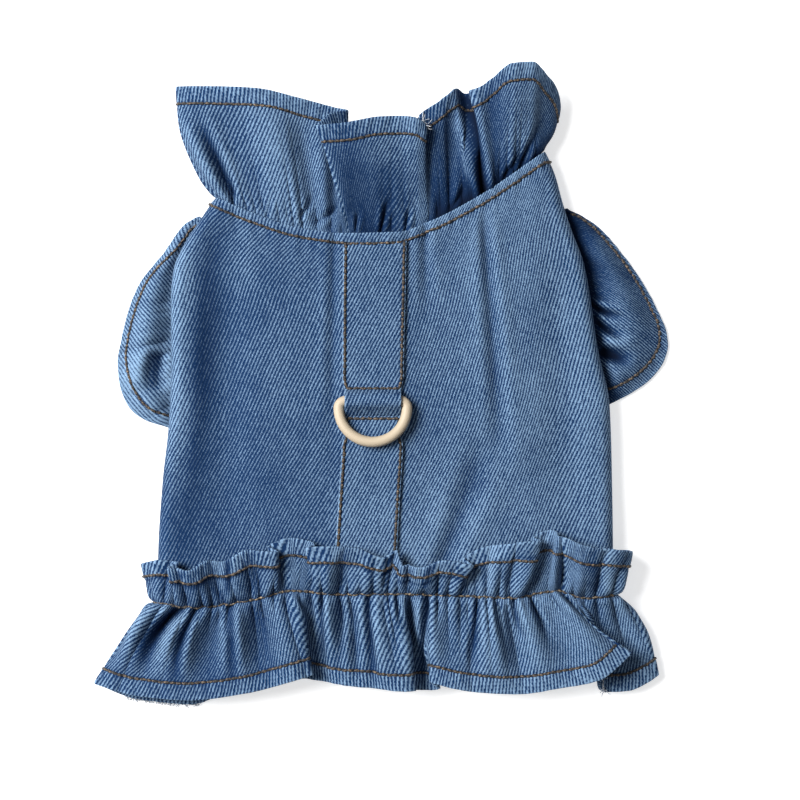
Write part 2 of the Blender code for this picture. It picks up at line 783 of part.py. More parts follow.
def loop_height(away):
    """Height of the strap's middle over the back, where it passes over the ring's bar.

    away is the distance past the bar's axis, positive towards the hem. The strap wraps the
    bar at one clearance, leaves it along a tangent on each side, and runs down to the back.
    """
    axis = CLOTH / 2 + GAP + RING_WIRE / 2
    wrap = RING_WIRE / 2 + LOOP_CLEAR + CLOTH / 2
    slope = np.where(away > 0, STRAP_LOWER_SLOPE, STRAP_UPPER_SLOPE)
    away = np.abs(away)
    over = axis + np.sqrt(np.maximum(wrap**2 - away**2, 0))
    leave = wrap * np.sin(slope)
    tangent = axis + wrap * np.cos(slope) - (away - leave) * np.tan(slope)
    return np.maximum(np.where(away < leave, over, tangent), STEP)


def down_at(x, y):
    """How far down the body a point of the back is."""
    return (neck_y(x) - y) / (neck_y(x) - gather_y(x))


def leash_strap():
    """Flat band down the back, sewn at its edges and raised over the ring's bar."""
    bar, length = ring_seat()
    loop = RING_AT + STRAP_LOOP_ROWS / length
    plain = np.append(body_rows(), STRAP_END)
    plain = plain[(plain < loop[0] - LOOP_MARGIN) | (plain > loop[-1] + LOOP_MARGIN)]
    down = np.sort(np.concatenate([loop, plain[plain <= STRAP_END]]))
    away = (down - RING_AT) * length
    middle = BODY_HALF_WIDTH * through(STRAP_PATH["down"], STRAP_PATH["middle"], down)
    width = STRAP_WIDTH * through(STRAP_PATH["down"], STRAP_PATH["width"], down)
    narrow = np.minimum(RING_INNER_WIDTH - 3 * GAP, width)
    width = width + (narrow - width) * through(STRAP_NARROWS["past_bar"], STRAP_NARROWS["share"], away)
    x = middle + np.linspace(-0.5, 0.5, STRAP_CELLS + 1)[:, None] * width
    down = down_at(x, bar[1] - away)
    grid = body_point(top_around(x, down), down, loop_height(away))
    return cloth_solid("leash_strap", grid[::-1])


def ring_path():
    """The D's centreline in its own plane: the bar along X through the origin, the arc to -Y."""
    half = (RING_INNER_WIDTH + RING_WIRE) / 2
    corner = RING_ARM
    turn = np.linspace(math.pi / 2, 0, RING_CORNER_CELLS + 1)
    right = np.stack(
        [half - corner + corner * np.cos(turn), corner * np.sin(turn) - corner], axis=-1
    )
    bend = np.linspace(0, -math.pi, RING_ARC_CELLS + 1)[1:-1]
    arc = np.stack([half * np.cos(bend), half * np.sin(bend) - corner], axis=-1)
    left = right[::-1] * np.array([-1, 1])
    return np.concatenate([right, arc, left])


def d_ring():
    """Round wire swept along the D, lying from its bar over the strap below the loop."""
    path = ring_path()
    ahead = np.roll(path, -1, axis=0) - path
    ahead /= np.linalg.norm(ahead, axis=1, keepdims=True)
    behind = np.roll(ahead, 1, axis=0)
    side = ahead + behind
    side = np.stack([side[:, 1], -side[:, 0]], axis=-1)
    side /= np.linalg.norm(side, axis=1, keepdims=True)
    mitre = 1 / np.sqrt((1 + (ahead * behind).sum(axis=1)) / 2)
    turn = 2 * math.pi * (np.arange(RING_SIDES) + 0.5) / RING_SIDES
    radius = RING_WIRE / 2
    across = radius * np.cos(turn)[None, :, None] * (side * mitre[:, None])[:, None]
    flat = path[:, None] + across
    height = np.broadcast_to(radius * np.sin(turn), flat.shape[:2])
    verts = np.concatenate([flat, height[..., None]], axis=-1).reshape(-1, 3)
    index = np.arange(len(verts)).reshape(len(path), RING_SIDES)
    next_section = np.roll(index, -1, axis=0)
    faces = np.stack(
        [
            index,
            next_section,
            np.roll(next_section, -1, axis=1),
            np.roll(index, -1, axis=1),
        ],
        axis=-1,
    )
    mesh = bpy.data.meshes.new("d_ring")
    mesh.from_pydata(verts.tolist(), [], faces.reshape(-1, 4).tolist())
    mesh.shade_smooth()
    ring = place("d_ring", mesh, ENAMEL)
    bar, length = ring_seat()
    radius = (RING_INNER_WIDTH + RING_WIRE) / 2
    reach = RING_ARM + math.sqrt(radius**2 - (RING_INNER_WIDTH / 2) ** 2)
    rest = body_point(
        top_around(bar[0], RING_AT),
        RING_AT + reach / length,
        STEP + CLOTH / 2 + GAP + RING_WIRE / 2,
    )
    ring.location = Vector(bar)
    ring.rotation_euler.x = -math.atan2(rest[2] - bar[2], reach)
    return ring


def rest_on_origin(objects):
    """Moves the dress so that the origin is on the floor under the middle of its box."""
    bpy.context.view_layer.update()
    corners = [obj.matrix_world @ v.co for obj in objects for v in obj.data.vertices]
    low = Vector([min(c[k] for c in corners) for k in range(3)])
    high = Vector([max(c[k] for c in corners) for k in range(3)])
    shift = Vector([-(low.x + high.x) / 2, -(low.y + high.y) / 2, -low.z])
    for obj in objects:
        if obj.name == "d_ring":
            obj.location += shift
        else:
            obj.data.transform(Matrix.Translation(shift))


for old in list(bpy.data.objects):
    bpy.data.objects.remove(old)

DENIM = finish("denim", DENIM_BLUE, 0.9)
ENAMEL = finish("cream_enamel", CREAM, 0.35)

rest_on_origin(
    [
        back_panel(),
        belly_panel(),
        collar(),
        hem_ruffle(),
        sleeve("sleeve_left", -1, LEFT_SLEEVE),
        sleeve("sleeve_right", 1, RIGHT_SLEEVE),
        leash_strap(),
        d_ring(),
    ]
)
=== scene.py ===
# %% [markdown]
# # A denim dress for a small dog
#
# The dress lies flat with its back up. Each part of it is a sheet of denim, so each is built
# here the same way: a middle surface worked out from a few sizes and a table of folds, then a
# wall of cloth around it, with fine gathers, a turned hem and rows of topstitching.

import math

import bpy
import numpy as np
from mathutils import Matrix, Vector


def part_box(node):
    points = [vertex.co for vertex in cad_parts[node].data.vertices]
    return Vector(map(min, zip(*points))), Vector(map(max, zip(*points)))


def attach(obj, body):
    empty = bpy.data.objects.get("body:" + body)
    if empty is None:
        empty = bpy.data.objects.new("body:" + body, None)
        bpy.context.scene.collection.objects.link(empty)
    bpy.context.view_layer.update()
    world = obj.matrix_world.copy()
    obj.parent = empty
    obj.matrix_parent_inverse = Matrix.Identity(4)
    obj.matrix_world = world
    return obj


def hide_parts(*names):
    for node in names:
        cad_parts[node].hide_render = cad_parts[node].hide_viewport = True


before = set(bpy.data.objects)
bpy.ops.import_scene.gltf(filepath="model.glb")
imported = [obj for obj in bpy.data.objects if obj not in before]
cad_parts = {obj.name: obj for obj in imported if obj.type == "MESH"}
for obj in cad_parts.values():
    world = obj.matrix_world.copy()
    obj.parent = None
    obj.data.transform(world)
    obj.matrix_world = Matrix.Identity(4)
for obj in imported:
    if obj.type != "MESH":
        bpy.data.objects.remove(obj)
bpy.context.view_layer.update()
MM = 0.001

# %% [markdown]
# ## Curves through tables
#
# Folds follow no formula, so a few rows with named columns say where the cloth goes, and a
# curve runs through them. A plain spline would bulge past its rows. A monotone cubic keeps
# every row exact and never does.


# %% Tables and curves
def table(columns, *rows):
    """A table as a dictionary: each column's name and its values."""
    return dict(zip(columns.split(), np.array(rows, float).T))


def curve(knots, values, at):
    """Monotone cubic curve through the rows: each slope is the harmonic mean of its neighbours."""
    at = np.clip(np.asarray(at, float), knots[0], knots[-1])
    width = np.diff(knots)
    slope = np.diff(values) / width
    tangent = np.zeros(len(knots))
    tangent[0], tangent[-1] = slope[0], slope[-1]
    before, after = slope[:-1], slope[1:]
    near, far = 2 * width[1:] + width[:-1], width[1:] + 2 * width[:-1]
    same_way = before * after > 0
    blend = near[same_way] / before[same_way] + far[same_way] / after[same_way]
    tangent[1:-1][same_way] = (near + far)[same_way] / blend
    cell = np.clip(np.searchsorted(knots, at, side="right") - 1, 0, len(width) - 1)
    t = (at - knots[cell]) / width[cell]
    start, end = values[cell], values[cell + 1]
    leave, arrive = tangent[cell] * width[cell], tangent[cell + 1] * width[cell]
    return (
        start * (1 + 2 * t) * (1 - t) ** 2
        + leave * t * (1 - t) ** 2
        + end * t**2 * (3 - 2 * t)
        - arrive * t**2 * (1 - t)
    )


def through(rows, column, at):
    """A column's curve, read at places along the table's first column."""
    return curve(next(iter(rows.values())), rows[column], at)


def around_ring(folds, column, at):
    """The same curve through a ruffle's rows, closed into a ring of two halves."""
    knots = np.concatenate([folds["seam"] - 2, folds["seam"], folds["seam"] + 2])
    values = folds[column]
    turn = 2.0 if column == "edge" else 0.0
    values = np.concatenate([values - turn, values, values + turn])
    return curve(knots, values, at)


def eased(x):
    """0 below 0, 1 above 1, and a smooth step between."""
    x = np.clip(x, 0.0, 1.0)
    return x * x * (3 - 2 * x)


def bell(x, centre, width, power=2):
    """1 at the centre, and e to the minus (distance over width) to a power away from it."""
    return np.exp(-(((x - centre) / width) ** power))


# %% [markdown]
# ## The body
#
# One pixel of the photograph is 0.4 mm, which makes the leash ring a usual 25 mm class D-ring
# and the twill lines 1.4 mm apart. The body is a flat tube: a nearly flat back with a slight
# crown, round turns at the sides, and an underside. A scan or a sculpted mesh could give it
# too, but two coordinates, around and down, place every seam and stitch on it by a number.

# %% Sizes of the body
CLOTH = 1.0 * MM
GAP = 0.3 * MM
STEP = CLOTH + GAP
BODY_LENGTH = 146.0 * MM
BODY_HALF_WIDTH = 91.0 * MM
BODY_HEIGHT = 13.0 * MM
SIDE_RADIUS = 4.6 * MM
DENT_DEPTH = 1.6 * MM
FRILL_DEPTH = 16.0 * MM
LIFT_START = 0.72
BODY_SECTIONS = table(
    "down left right",
    (0.00, 0.742, 0.698),
    (0.05, 0.802, 0.742),
    (0.12, 0.885, 0.780),
    (0.18, 0.932, 0.819),
    (0.25, 0.945, 0.871),
    (0.45, 0.945, 0.936),
    (0.57, 0.956, 0.985),
    (0.70, 0.981, 0.994),
    (0.85, 0.998, 0.998),
    (1.00, 1.005, 1.000),
)
NECK_LINE = table(
    "across up",
    (-0.77, 0.105),
    (-0.60, 0.059),
    (-0.38, 0.014),
    (-0.18, -0.002),
    (0.06, 0.002),
    (0.19, 0.030),
    (0.41, 0.101),
    (0.70, 0.224),
)
GATHER_LINE = table(
    "across up",
    (-1.05, -0.012),
    (-0.83, -0.026),
    (-0.58, -0.005),
    (-0.41, 0.020),
    (-0.19, 0.010),
    (0.07, 0.011),
    (0.40, 0.004),
    (0.55, 0.000),
    (0.75, 0.019),
    (0.88, 0.000),
    (1.05, 0.012),
)
BODY_DENTS = table(
    "across down half_width half_length depth",
    (-0.74, 0.45, 0.15, 0.40, 1.0),
    (0.22, 0.22, 0.13, 0.25, 0.6),
    (0.80, 0.62, 0.11, 0.30, 0.7),
    (-0.40, 0.62, 0.26, 0.28, -0.4),
    (0.52, 0.55, 0.24, 0.35, -0.5),
)
print("body", BODY_LENGTH / MM, "by", 2 * BODY_HALF_WIDTH / MM, "mm")


# %% Lines of the body
def layer(count):
    """Height of the middle of a cloth with that many cloths under it on the floor."""
    return CLOTH / 2 + count * STEP


def neck_y(x):
    """Where the neck's seam is along Y, at a place across the body."""
    return BODY_LENGTH * (1 + through(NECK_LINE, "up", x / BODY_HALF_WIDTH))


def gather_y(x):
    """Where the hem's gathering line is along Y, at a place across the body."""
    return BODY_LENGTH * through(GATHER_LINE, "up", x / BODY_HALF_WIDTH)


def body_y(x, down):
    """Place along Y at a share of the way down from the neck to the gathering line."""
    return neck_y(x) + (gather_y(x) - neck_y(x)) * down


def hem_lift(down):
    """How far the body is lifted where the hem ruffle lies below it."""
    full = 1 - 1.25 * FRILL_DEPTH / BODY_LENGTH
    return STEP * eased((down - LIFT_START) / (full - LIFT_START))


def body_width(down):
    """The middle and the half width of the body."""
    left = BODY_HALF_WIDTH * through(BODY_SECTIONS, "left", down)
    right = BODY_HALF_WIDTH * through(BODY_SECTIONS, "right", down)
    return (right - left) / 2, (right + left) / 2


def side_turn(half):
    """Share of a quarter of the section that one half of the side's round turn takes."""
    quarter_turn = math.pi / 2 * SIDE_RADIUS
    return quarter_turn / (half - SIDE_RADIUS + quarter_turn)


def dents(x, down):
    """Depth of the soft hollows of the back, as a sum of smooth bells."""
    depth = np.zeros(np.broadcast(x, down).shape)
    for across, at, half_width, half_length, share in zip(*BODY_DENTS.values()):
        depth += share * bell(x / BODY_HALF_WIDTH, across, half_width) * bell(down, at, half_length)
    return DENT_DEPTH * depth


# %% Surface of the body
def body_surface(around, down):
    """Point of the body: around is 0 on top, 1 and -1 at the sides, 2 below; down is 0 to 1."""
    around, down = np.broadcast_arrays(around, down)
    around = (around + 2) % 4 - 2
    middle, half = body_width(down)
    flat = half - SIDE_RADIUS
    turn = side_turn(half)
    away = np.abs(around)
    angle = math.pi * np.clip((away - 1 + turn) / (2 * turn), 0, 1)
    along = np.clip(np.where(away < 1, away, 2 - away) / (1 - turn), 0, 1)
    x = middle + np.sign(around) * (flat * along + SIDE_RADIUS * np.sin(angle))
    crown = BODY_HEIGHT - CLOTH / 2 - layer(1) - 2 * SIDE_RADIUS
    swell = np.where(away < 1, crown * (0.5 + 0.5 * np.cos(math.pi * along)), 0.0)
    fade = np.where(away < 1, 1 - eased((along - 0.86) / 0.14), 0.0)
    z = layer(1) + hem_lift(down) + SIDE_RADIUS * (1 + np.cos(angle))
    z = z + swell - dents(x, down) * fade
    return np.stack([x, body_y(x, down), z], axis=-1)


def body_point(around, down, outset=0.0):
    """Point at the distance outset from the body's middle surface, along its normal."""
    around, down = np.broadcast_arrays(around, down)
    near = 1e-4
    across = body_surface(around + near, down) - body_surface(around - near, down)
    along = body_surface(around, down + near) - body_surface(around, down - near)
    normal = np.cross(along, across)
    normal /= np.linalg.norm(normal, axis=-1, keepdims=True)
    return body_surface(around, down) + normal * np.asarray(outset)[..., None]


def top_around(x, down):
    """Place around the section of a point on the back at that x."""
    middle, half = body_width(down)
    return (x - middle) / (half - SIDE_RADIUS) * (1 - side_turn(half))


# %% Seams around the body
def seam_point(seam, down, outset):
    """Body point at a place along a seam: 0 left, 1 right over the back, 2 left again."""
    return body_point(2 * np.asarray(seam) - 1, down, outset)


def hem_outset(seam):
    """One cloth out from the back, and two out from the underside, where two panels lap."""
    under = np.abs((2 * np.asarray(seam) + 1) % 4 - 2)
    turn = side_turn(body_width(1.0)[1])
    ease = GAP * bell(under, 1, turn)
    return STEP * (1 + eased((under - 1) / turn)) + ease


def middle_of(box):
    """Middle of a box given by its two corners."""
    return (np.array(box[0]) + np.array(box[1])) / 2


whole_body = body_surface(np.linspace(-1.2, 1.2, 601)[:, None], np.linspace(0, 1, 201)).reshape(-1, 3)
body_middle = middle_of((whole_body.min(0), whole_body.max(0)))
to_floor_middle = middle_of(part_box("back_panel")) - body_middle
to_floor_middle[2] = 0.0
print("gathering line to the frame's origin, mm", np.round(to_floor_middle * 1000, 2))

# %% [markdown]
# ## Walls of cloth
#
# Cloth is a thin wall. Its two faces stand half a thickness off the middle surface, and the
# rims close it. The cloth's own flat coordinates are kept with it, so that the twill runs with
# the grain of each strip, and so is a value for wear and shading: where the blue has rubbed
# off, and also painted shade in creases, grooves and hollows and painted light on cloth that
# faces the lamp. A Solidify modifier could make the wall, but not a hem that is thicker, or a
# wear and shading of its own.


# %% Normals and distances
def unit(vectors):
    """The same directions with a length of one."""
    return vectors / np.maximum(np.linalg.norm(vectors, axis=-1, keepdims=True), 1e-12)


def normals_of(points, ring):
    """Unit normals of a grid of points, from the lines through each point's neighbours."""
    if ring:
        wide = np.concatenate([points[-1:], points, points[:1]])
        along = wide[2:] - wide[:-2]
    else:
        along = np.gradient(points, axis=0)
    return unit(np.cross(along, np.gradient(points, axis=1)))


def run_along(points, axis):
    """Distance run along one axis of a grid, point by point."""
    step = np.linalg.norm(np.diff(points, axis=axis), axis=-1)
    start = np.zeros_like(np.take(step, [0], axis=axis))
    return np.concatenate([start, np.cumsum(step, axis=axis)], axis=axis)


# %% Wall builder
def new_object(name, verts, faces, material, smooth=True):
    """These points and faces as an object at the origin."""
    mesh = bpy.data.meshes.new(name)
    mesh.from_pydata(verts.tolist(), [], faces)
    if smooth:
        mesh.shade_smooth()
    mesh.materials.append(material)
    obj = bpy.data.objects.new(name, mesh)
    bpy.context.scene.collection.objects.link(obj)
    return obj


def cloth_wall(name, middle, flat, wear_and_shading, thick, ring=False, face_up=1):
    """A closed wall of cloth around a grid of points; face_up is the sign of its outer face.

    flat holds each point's place on the flat cloth, and of a ring also that of its first
    column once more, at the far end of the strip. The inner face gets half as much wear and
    painted light and shade.
    """
    count, depth = middle.shape[:2]
    normal = normals_of(middle, ring) * face_up
    half = (np.broadcast_to(thick, (count, depth)) / 2)[..., None]
    outer, inner = middle + normal * half, middle - normal * half
    verts = np.concatenate([outer.reshape(-1, 3), inner.reshape(-1, 3)]) + to_floor_middle
    spans = count if ring else count - 1
    i, j = np.meshgrid(np.arange(spans), np.arange(depth - 1), indexing="ij")
    far = (i + 1) % count

    flats = []
    faces = []

    def add(columns, rows, face, flat_columns):
        """Adds squares by the columns, rows and faces (0 outer, 1 inner) of their corners."""
        order = slice(None) if face_up > 0 else slice(None, None, -1)
        corners = [c * depth + r + f * count * depth for c, r, f in zip(columns, rows, face)]
        faces.append(np.stack(corners, axis=-1).reshape(-1, 4)[:, order])
        places = [flat[c, r] for c, r in zip(flat_columns, rows)]
        flats.append(np.stack(places, axis=-2).reshape(-1, 4, 2)[:, order])

    square = (j, j, j + 1, j + 1)
    add((i, far, far, i), square, (0, 0, 0, 0), (i, i + 1, i + 1, i))
    add((i, i, far, far), (j, j + 1, j + 1, j), (1, 1, 1, 1), (i, i, i + 1, i + 1))
    line = np.arange(spans)
    ahead = (line + 1) % count
    first, last = 0 * line, 0 * line + depth - 1
    add((line, ahead, ahead, line), (first,) * 4, (1, 1, 0, 0), (line, line + 1, line + 1, line))
    add((line, ahead, ahead, line), (last,) * 4, (0, 0, 1, 1), (line, line + 1, line + 1, line))
    if not ring:
        step = np.arange(depth - 1)
        start, end = 0 * step, 0 * step + count - 1
        add((start,) * 4, (step, step + 1, step + 1, step), (0, 0, 1, 1), (start,) * 4)
        add((end,) * 4, (step + 1, step, step, step + 1), (0, 0, 1, 1), (end,) * 4)
    obj = new_object(name, verts, np.concatenate(faces).tolist(), washed_denim)
    uv = obj.data.uv_layers.new(name="cloth")
    uv.data.foreach_set("uv", np.concatenate(flats).reshape(-1).astype(np.float32))
    # This attribute holds rubbed-off wear together with painted shade and painted light.
    worn_and_shaded = np.concatenate([wear_and_shading.reshape(-1), 0.5 * wear_and_shading.reshape(-1)])
    mark = obj.data.attributes.new("wear_and_shading", "FLOAT", "POINT")
    mark.data.foreach_set("value", worn_and_shaded.astype(np.float32))
    print(name, len(obj.data.polygons) * 2, "triangles")
    return obj, outer, normal


# %% [markdown]
# ## Pleats and creases
#
# Gathered cloth stands in round ridges with narrow creases between them, and no two are alike.
# The ridges are one profile whose pace hurries and lags along the seam. The longer creases and
# the slack folds are single lines, which tables place in millimetres from the middle of the
# gathering line.


# %% Pleats and creases
def waves(along, pitch, seed):
    """Phase of uneven waves: it runs one turn to a pitch, and hurries and lags a little."""
    lag = 0.34 * np.sin(2 * math.pi * along / (3.7 * pitch) + seed)
    lag = lag + 0.22 * np.sin(2 * math.pi * along / (1.83 * pitch) + 2.3 * seed)
    return 2 * math.pi * along / pitch + 2.2 * lag


def pleat(phase):
    """Profile of gathered cloth, from -1 to 1: round ridges with narrow creases between them."""
    return 1.6 * np.abs(np.cos(phase / 2)) ** 0.8 - 1.0


def creased(x, y, creases):
    """Height of the cloth in creases, in millimetres: hollows with raised lips along bowed lines.

    Each crease starts sharp at the seam and widens and dies out towards its other end.
    """
    x, y = x / MM, y / MM
    height = 0.0 * x
    for from_x, from_y, to_x, to_y, bow, width, depth in zip(*creases.values()):
        length = math.hypot(to_x - from_x, to_y - from_y)
        east, north = (to_x - from_x) / length, (to_y - from_y) / length
        t = ((x - from_x) * east + (y - from_y) * north) / length
        off = (x - from_x) * north - (y - from_y) * east - 4 * bow * t * (1 - t)
        q = (off / (width * (0.7 + 0.7 * t.clip(0, 1)))) ** 2
        strength = eased((t + 0.08) / 0.16) * eased((1 - t) / 0.6)
        height = height + depth * strength * (1.5 * q - 1) * np.exp(-0.7 * q)
    return height


CREASE_COLUMNS = "from_x from_y to_x to_y bow width depth"

# %% [markdown]
# ## Denim
#
# Denim is woven with blue warp over white weft, and the weave's steps line up into diagonal
# twill lines. Washing rubs the blue off wherever the cloth stands proud: on ridges, along
# turned hems and beside stitches. The same value also paints shade into creases, grooves and
# folds turned from the light, where the weave dims and the blue runs to near black, and paints
# light onto cloth that faces the lamp. A photograph of cloth would stretch over the folds, so
# all of it is worked out on the flat cloth, in millimetres.


# %% Shader arithmetic
class Field:
    """A value that varies over a surface, with plain arithmetic."""

    def __init__(self, tree, socket):
        self.tree, self.socket = tree, socket

    def node(self, kind, settings, *values, out=0):
        """Adds a node, sets its settings, feeds its sockets in order and gives an output."""
        made = self.tree.nodes.new(kind)
        for name, value in settings.items():
            setattr(made, name, value)
        for place, value in enumerate(values):
            if isinstance(value, Field):
                self.tree.links.new(value.socket, made.inputs[place])
            elif value is not None:
                made.inputs[place].default_value = value
        return Field(self.tree, made.outputs[out])

    def math(self, operation, *values, clamp=False):
        """One step of arithmetic on values and sockets."""
        return self.node("ShaderNodeMath", {"operation": operation, "use_clamp": clamp}, *values)

    def __add__(self, other):
        return self.math("ADD", self, other)

    __radd__ = __add__

    def __sub__(self, other):
        return self.math("SUBTRACT", self, other)

    def __rsub__(self, other):
        return self.math("SUBTRACT", other, self)

    def __mul__(self, other):
        return self.math("MULTIPLY", self, other)

    __rmul__ = __mul__

    def __truediv__(self, other):
        return self.math("DIVIDE", self, other)

    def sine(self):
        """The sine, in radians."""
        return self.math("SINE", self)

    def floor(self):
        """The whole number below."""
        return self.math("FLOOR", self)

    def clamp(self):
        """The value held between 0 and 1."""
        return self.math("ADD", self, 0.0, clamp=True)

    def mix(self, low, high):
        """A colour between two, by this value."""
        values = [self] + [None] * 5 + [low, high]
        return self.node("ShaderNodeMix", {"data_type": "RGBA"}, *values, out=2)

    def noise(self, x, y, detail=2.0, rough=0.55):
        """Noise over x and y, whose grains are about one across; its mean is 0.5."""
        place = self.node("ShaderNodeCombineXYZ", {}, x, y)
        return self.node("ShaderNodeTexNoise", {}, place, None, 1.0, detail, rough)

    def chance(self, x, y):
        """A value of its own, from 0 to 1, for every pair of whole numbers x and y."""
        place = self.node("ShaderNodeCombineXYZ", {}, x, y)
        return self.node("ShaderNodeTexWhiteNoise", {"noise_dimensions": "2D"}, place)


def new_material(name, roughness):
    """An empty material: itself, the start of its arithmetic and its shader."""
    material = bpy.data.materials.new(name)
    material.use_nodes = True
    shader = material.node_tree.nodes["Principled BSDF"]
    shader.inputs["Roughness"].default_value = roughness
    return material, Field(material.node_tree, None), shader


# %% Washed denim
YARN = 0.353
PICK = 0.66
# A near-black blue, used only for painted shade.
PAINTED_SHADE_BLUE = (0.001, 0.005, 0.018, 1)
DARK_BLUE = (0.0035, 0.022, 0.075, 1)
LIGHT_BLUE = (0.187, 0.297, 0.440, 1)


def denim(name, dark, light):
    """Four-step twill: each blue yarn floats over three threads of weft and goes under one.

    The next yarn does so one pick higher, which draws the twill lines. Each float has its own
    shade, each yarn is thick and thin along its length, and the wash leaves clouds. Where painted
    shade is laid on, the weave dims and the colour runs down to a near-black blue.
    """
    material, start, shader = new_material(name, 0.9)
    flat = start.node("ShaderNodeUVMap", {"uv_map": "cloth"})
    u = flat.node("ShaderNodeSeparateXYZ", {}, flat) * 1000
    v = flat.node("ShaderNodeSeparateXYZ", {}, flat, out=1) * 1000
    bend = u.noise(u / 12, v / 12, 1.0) - 0.5
    yarn_at = (u + bend * 0.9) / YARN
    pick_at = v / PICK
    yarn, pick = yarn_at.floor(), pick_at.floor()
    steps = (yarn - pick) * 0.55 + (yarn_at - pick_at) * 0.45
    ridge = (steps * (2 * math.pi / 4)).sine()
    knot = (pick_at * (2 * math.pi)).sine() * (1 - ridge)
    float_shade = u.chance(yarn, pick) - 0.5
    slub = u.noise(yarn * 1.7, v / 7, 2.0, 0.6) - 0.5
    fleck = u.noise(u / 0.6, v / 0.7, 1.0, 0.6) - 0.5
    cloud = u.noise(u / 16, v / 22, 3.0, 0.6) - 0.5
    wear_and_shading = flat.node("ShaderNodeAttribute", {"attribute_name": "wear_and_shading"}, out=2)
    weave = ridge * 0.56 + knot * 0.11 + float_shade * 0.5 + slub * 0.7 + fleck * 1.2
    # Painted shade: where the value is low, the weave's contrast drops.
    fade_and_shading = wear_and_shading.math("MAXIMUM", wear_and_shading * 1.6 + 1, 0.6, clamp=True)
    tone = 0.155 + weave * fade_and_shading + cloud * 0.5 + wear_and_shading
    # Painted shade: a very low value mixes the dark blue down to the near-black blue.
    painted_shade = (wear_and_shading * 1.5 + 1.25).clamp()
    colour = tone.clamp().mix(painted_shade.mix(PAINTED_SHADE_BLUE, dark), light)
    links = material.node_tree.links
    links.new(colour.socket, shader.inputs["Base Color"])
    shader.inputs["Specular IOR Level"].default_value = 0.12
    height = ridge * 0.5 + float_shade * 0.3 + slub * 0.8
    bump = height.node("ShaderNodeBump", {}, 0.5, 0.2 * MM, None, height)
    links.new(bump.socket, shader.inputs["Normal"])
    return material


# %% Thread and enamel
def thread(name, dark, light):
    """Twisted thread, with painted glints where a strand stands proud and painted shade where it turns
    in.
    """
    material, start, shader = new_material(name, 0.7)
    place = start.node("ShaderNodeTexCoord", {}, out=3)
    x = place.node("ShaderNodeSeparateXYZ", {}, place) * 1000
    y = place.node("ShaderNodeSeparateXYZ", {}, place, out=1) * 1000
    glint = x.noise(x / 0.8, y / 0.8, 2.0, 0.6)
    # Painted glints and painted shade along the twist.
    colour = ((glint - 0.49) * 5.0).clamp().mix(dark, light)
    material.node_tree.links.new(colour.socket, shader.inputs["Base Color"])
    return material


def enamel(name, colour):
    """A smooth satin paint."""
    material, _, shader = new_material(name, 0.6)
    shader.inputs["Base Color"].default_value = colour
    shader.inputs["Coat Weight"].default_value = 0.05
    shader.inputs["Coat Roughness"].default_value = 0.3
    return material


washed_denim = denim("washed denim", DARK_BLUE, LIGHT_BLUE)
golden_thread = thread("golden topstitch thread", (0.010, 0.010, 0.012, 1), (0.22, 0.155, 0.100, 1))
gathering_thread = thread("gathering thread", (0.012, 0.011, 0.012, 1), (0.38, 0.29, 0.19, 1))
frayed_thread = thread("frayed weft thread", (0.30, 0.33, 0.38, 1), (0.80, 0.82, 0.84, 1))
cream_enamel = enamel("cream enamel", (0.455, 0.375, 0.270, 1))
print("materials", [material.name for material in bpy.data.materials])

# %% [markdown]
# ## Stitches
#
# A lockstitch shows as short bars of thread with their ends pulled into the cloth. Each bar is
# a little arched rod, and every row of topstitching is one mesh of such rods along a line on
# the cloth. Painted stitches would be flat where the light grazes them.


# %% Threads
LOWEST = -0.05 * MM


def tubes(name, path, up, radius, sides, material, smooth=True):
    """Closed threads along rows of points: a circle square to the path, swept along it.

    Threads under the dress are pressed flat by the floor, no lower than LOWEST.
    """
    ahead = unit(np.gradient(path, axis=1))
    side = unit(np.cross(ahead, up))
    over = np.cross(side, ahead)
    turn = 2 * math.pi * np.arange(sides) / sides
    ring = side[:, :, None] * np.cos(turn)[:, None] + over[:, :, None] * np.sin(turn)[:, None]
    verts = (path[:, :, None] + np.reshape(radius, (-1, 1, 1)) * ring).reshape(-1, 3)
    verts = verts + to_floor_middle
    verts[:, 2] = np.maximum(verts[:, 2], LOWEST)
    index = np.arange(len(verts)).reshape(*path.shape[:2], sides)
    after = np.roll(index, -1, axis=2)
    walls = np.stack([index[:, :-1], index[:, 1:], after[:, 1:], after[:, :-1]], axis=-1)
    faces = walls.reshape(-1, 4).tolist() + index[:, 0].tolist() + index[:, -1, ::-1].tolist()
    obj = new_object(name, verts, faces, material, smooth)
    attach(obj, "dress")
    print(name, len(path), "threads")
    return obj


# %% Rows of stitches
STITCH_PITCH = 2.5 * MM
STITCH_LENGTH = 2.6 * MM
THREAD_RADIUS = 0.62 * MM


def stitches(name, line, normal, closed=False, material=golden_thread):
    """Arched rods along a line of points: sunk at both ends and proud in the middle."""
    if closed:
        line = np.concatenate([line, line[:1]])
        normal = np.concatenate([normal, normal[:1]])
    run = run_along(line, 0)
    count = int(run[-1] / STITCH_PITCH)
    start = (np.arange(count) + 0.5) * run[-1] / count
    along = np.linspace(-0.5, 0.5, 7)
    at = start[:, None] + along * STITCH_LENGTH

    def read(values):
        return np.stack([np.interp(at, run, values[:, k]) for k in range(3)], axis=-1)

    up = unit(read(normal))
    arch = np.cos(math.pi * along)
    path = read(line) + up * ((0.5 * arch - 0.35) * THREAD_RADIUS)[:, None]
    radius = THREAD_RADIUS * (0.6 + 0.4 * np.sqrt(arch.clip(0)))
    return tubes(name, path, up, radius, 6, material)


# %% Loose threads
FRAY_RADIUS = 0.15 * MM


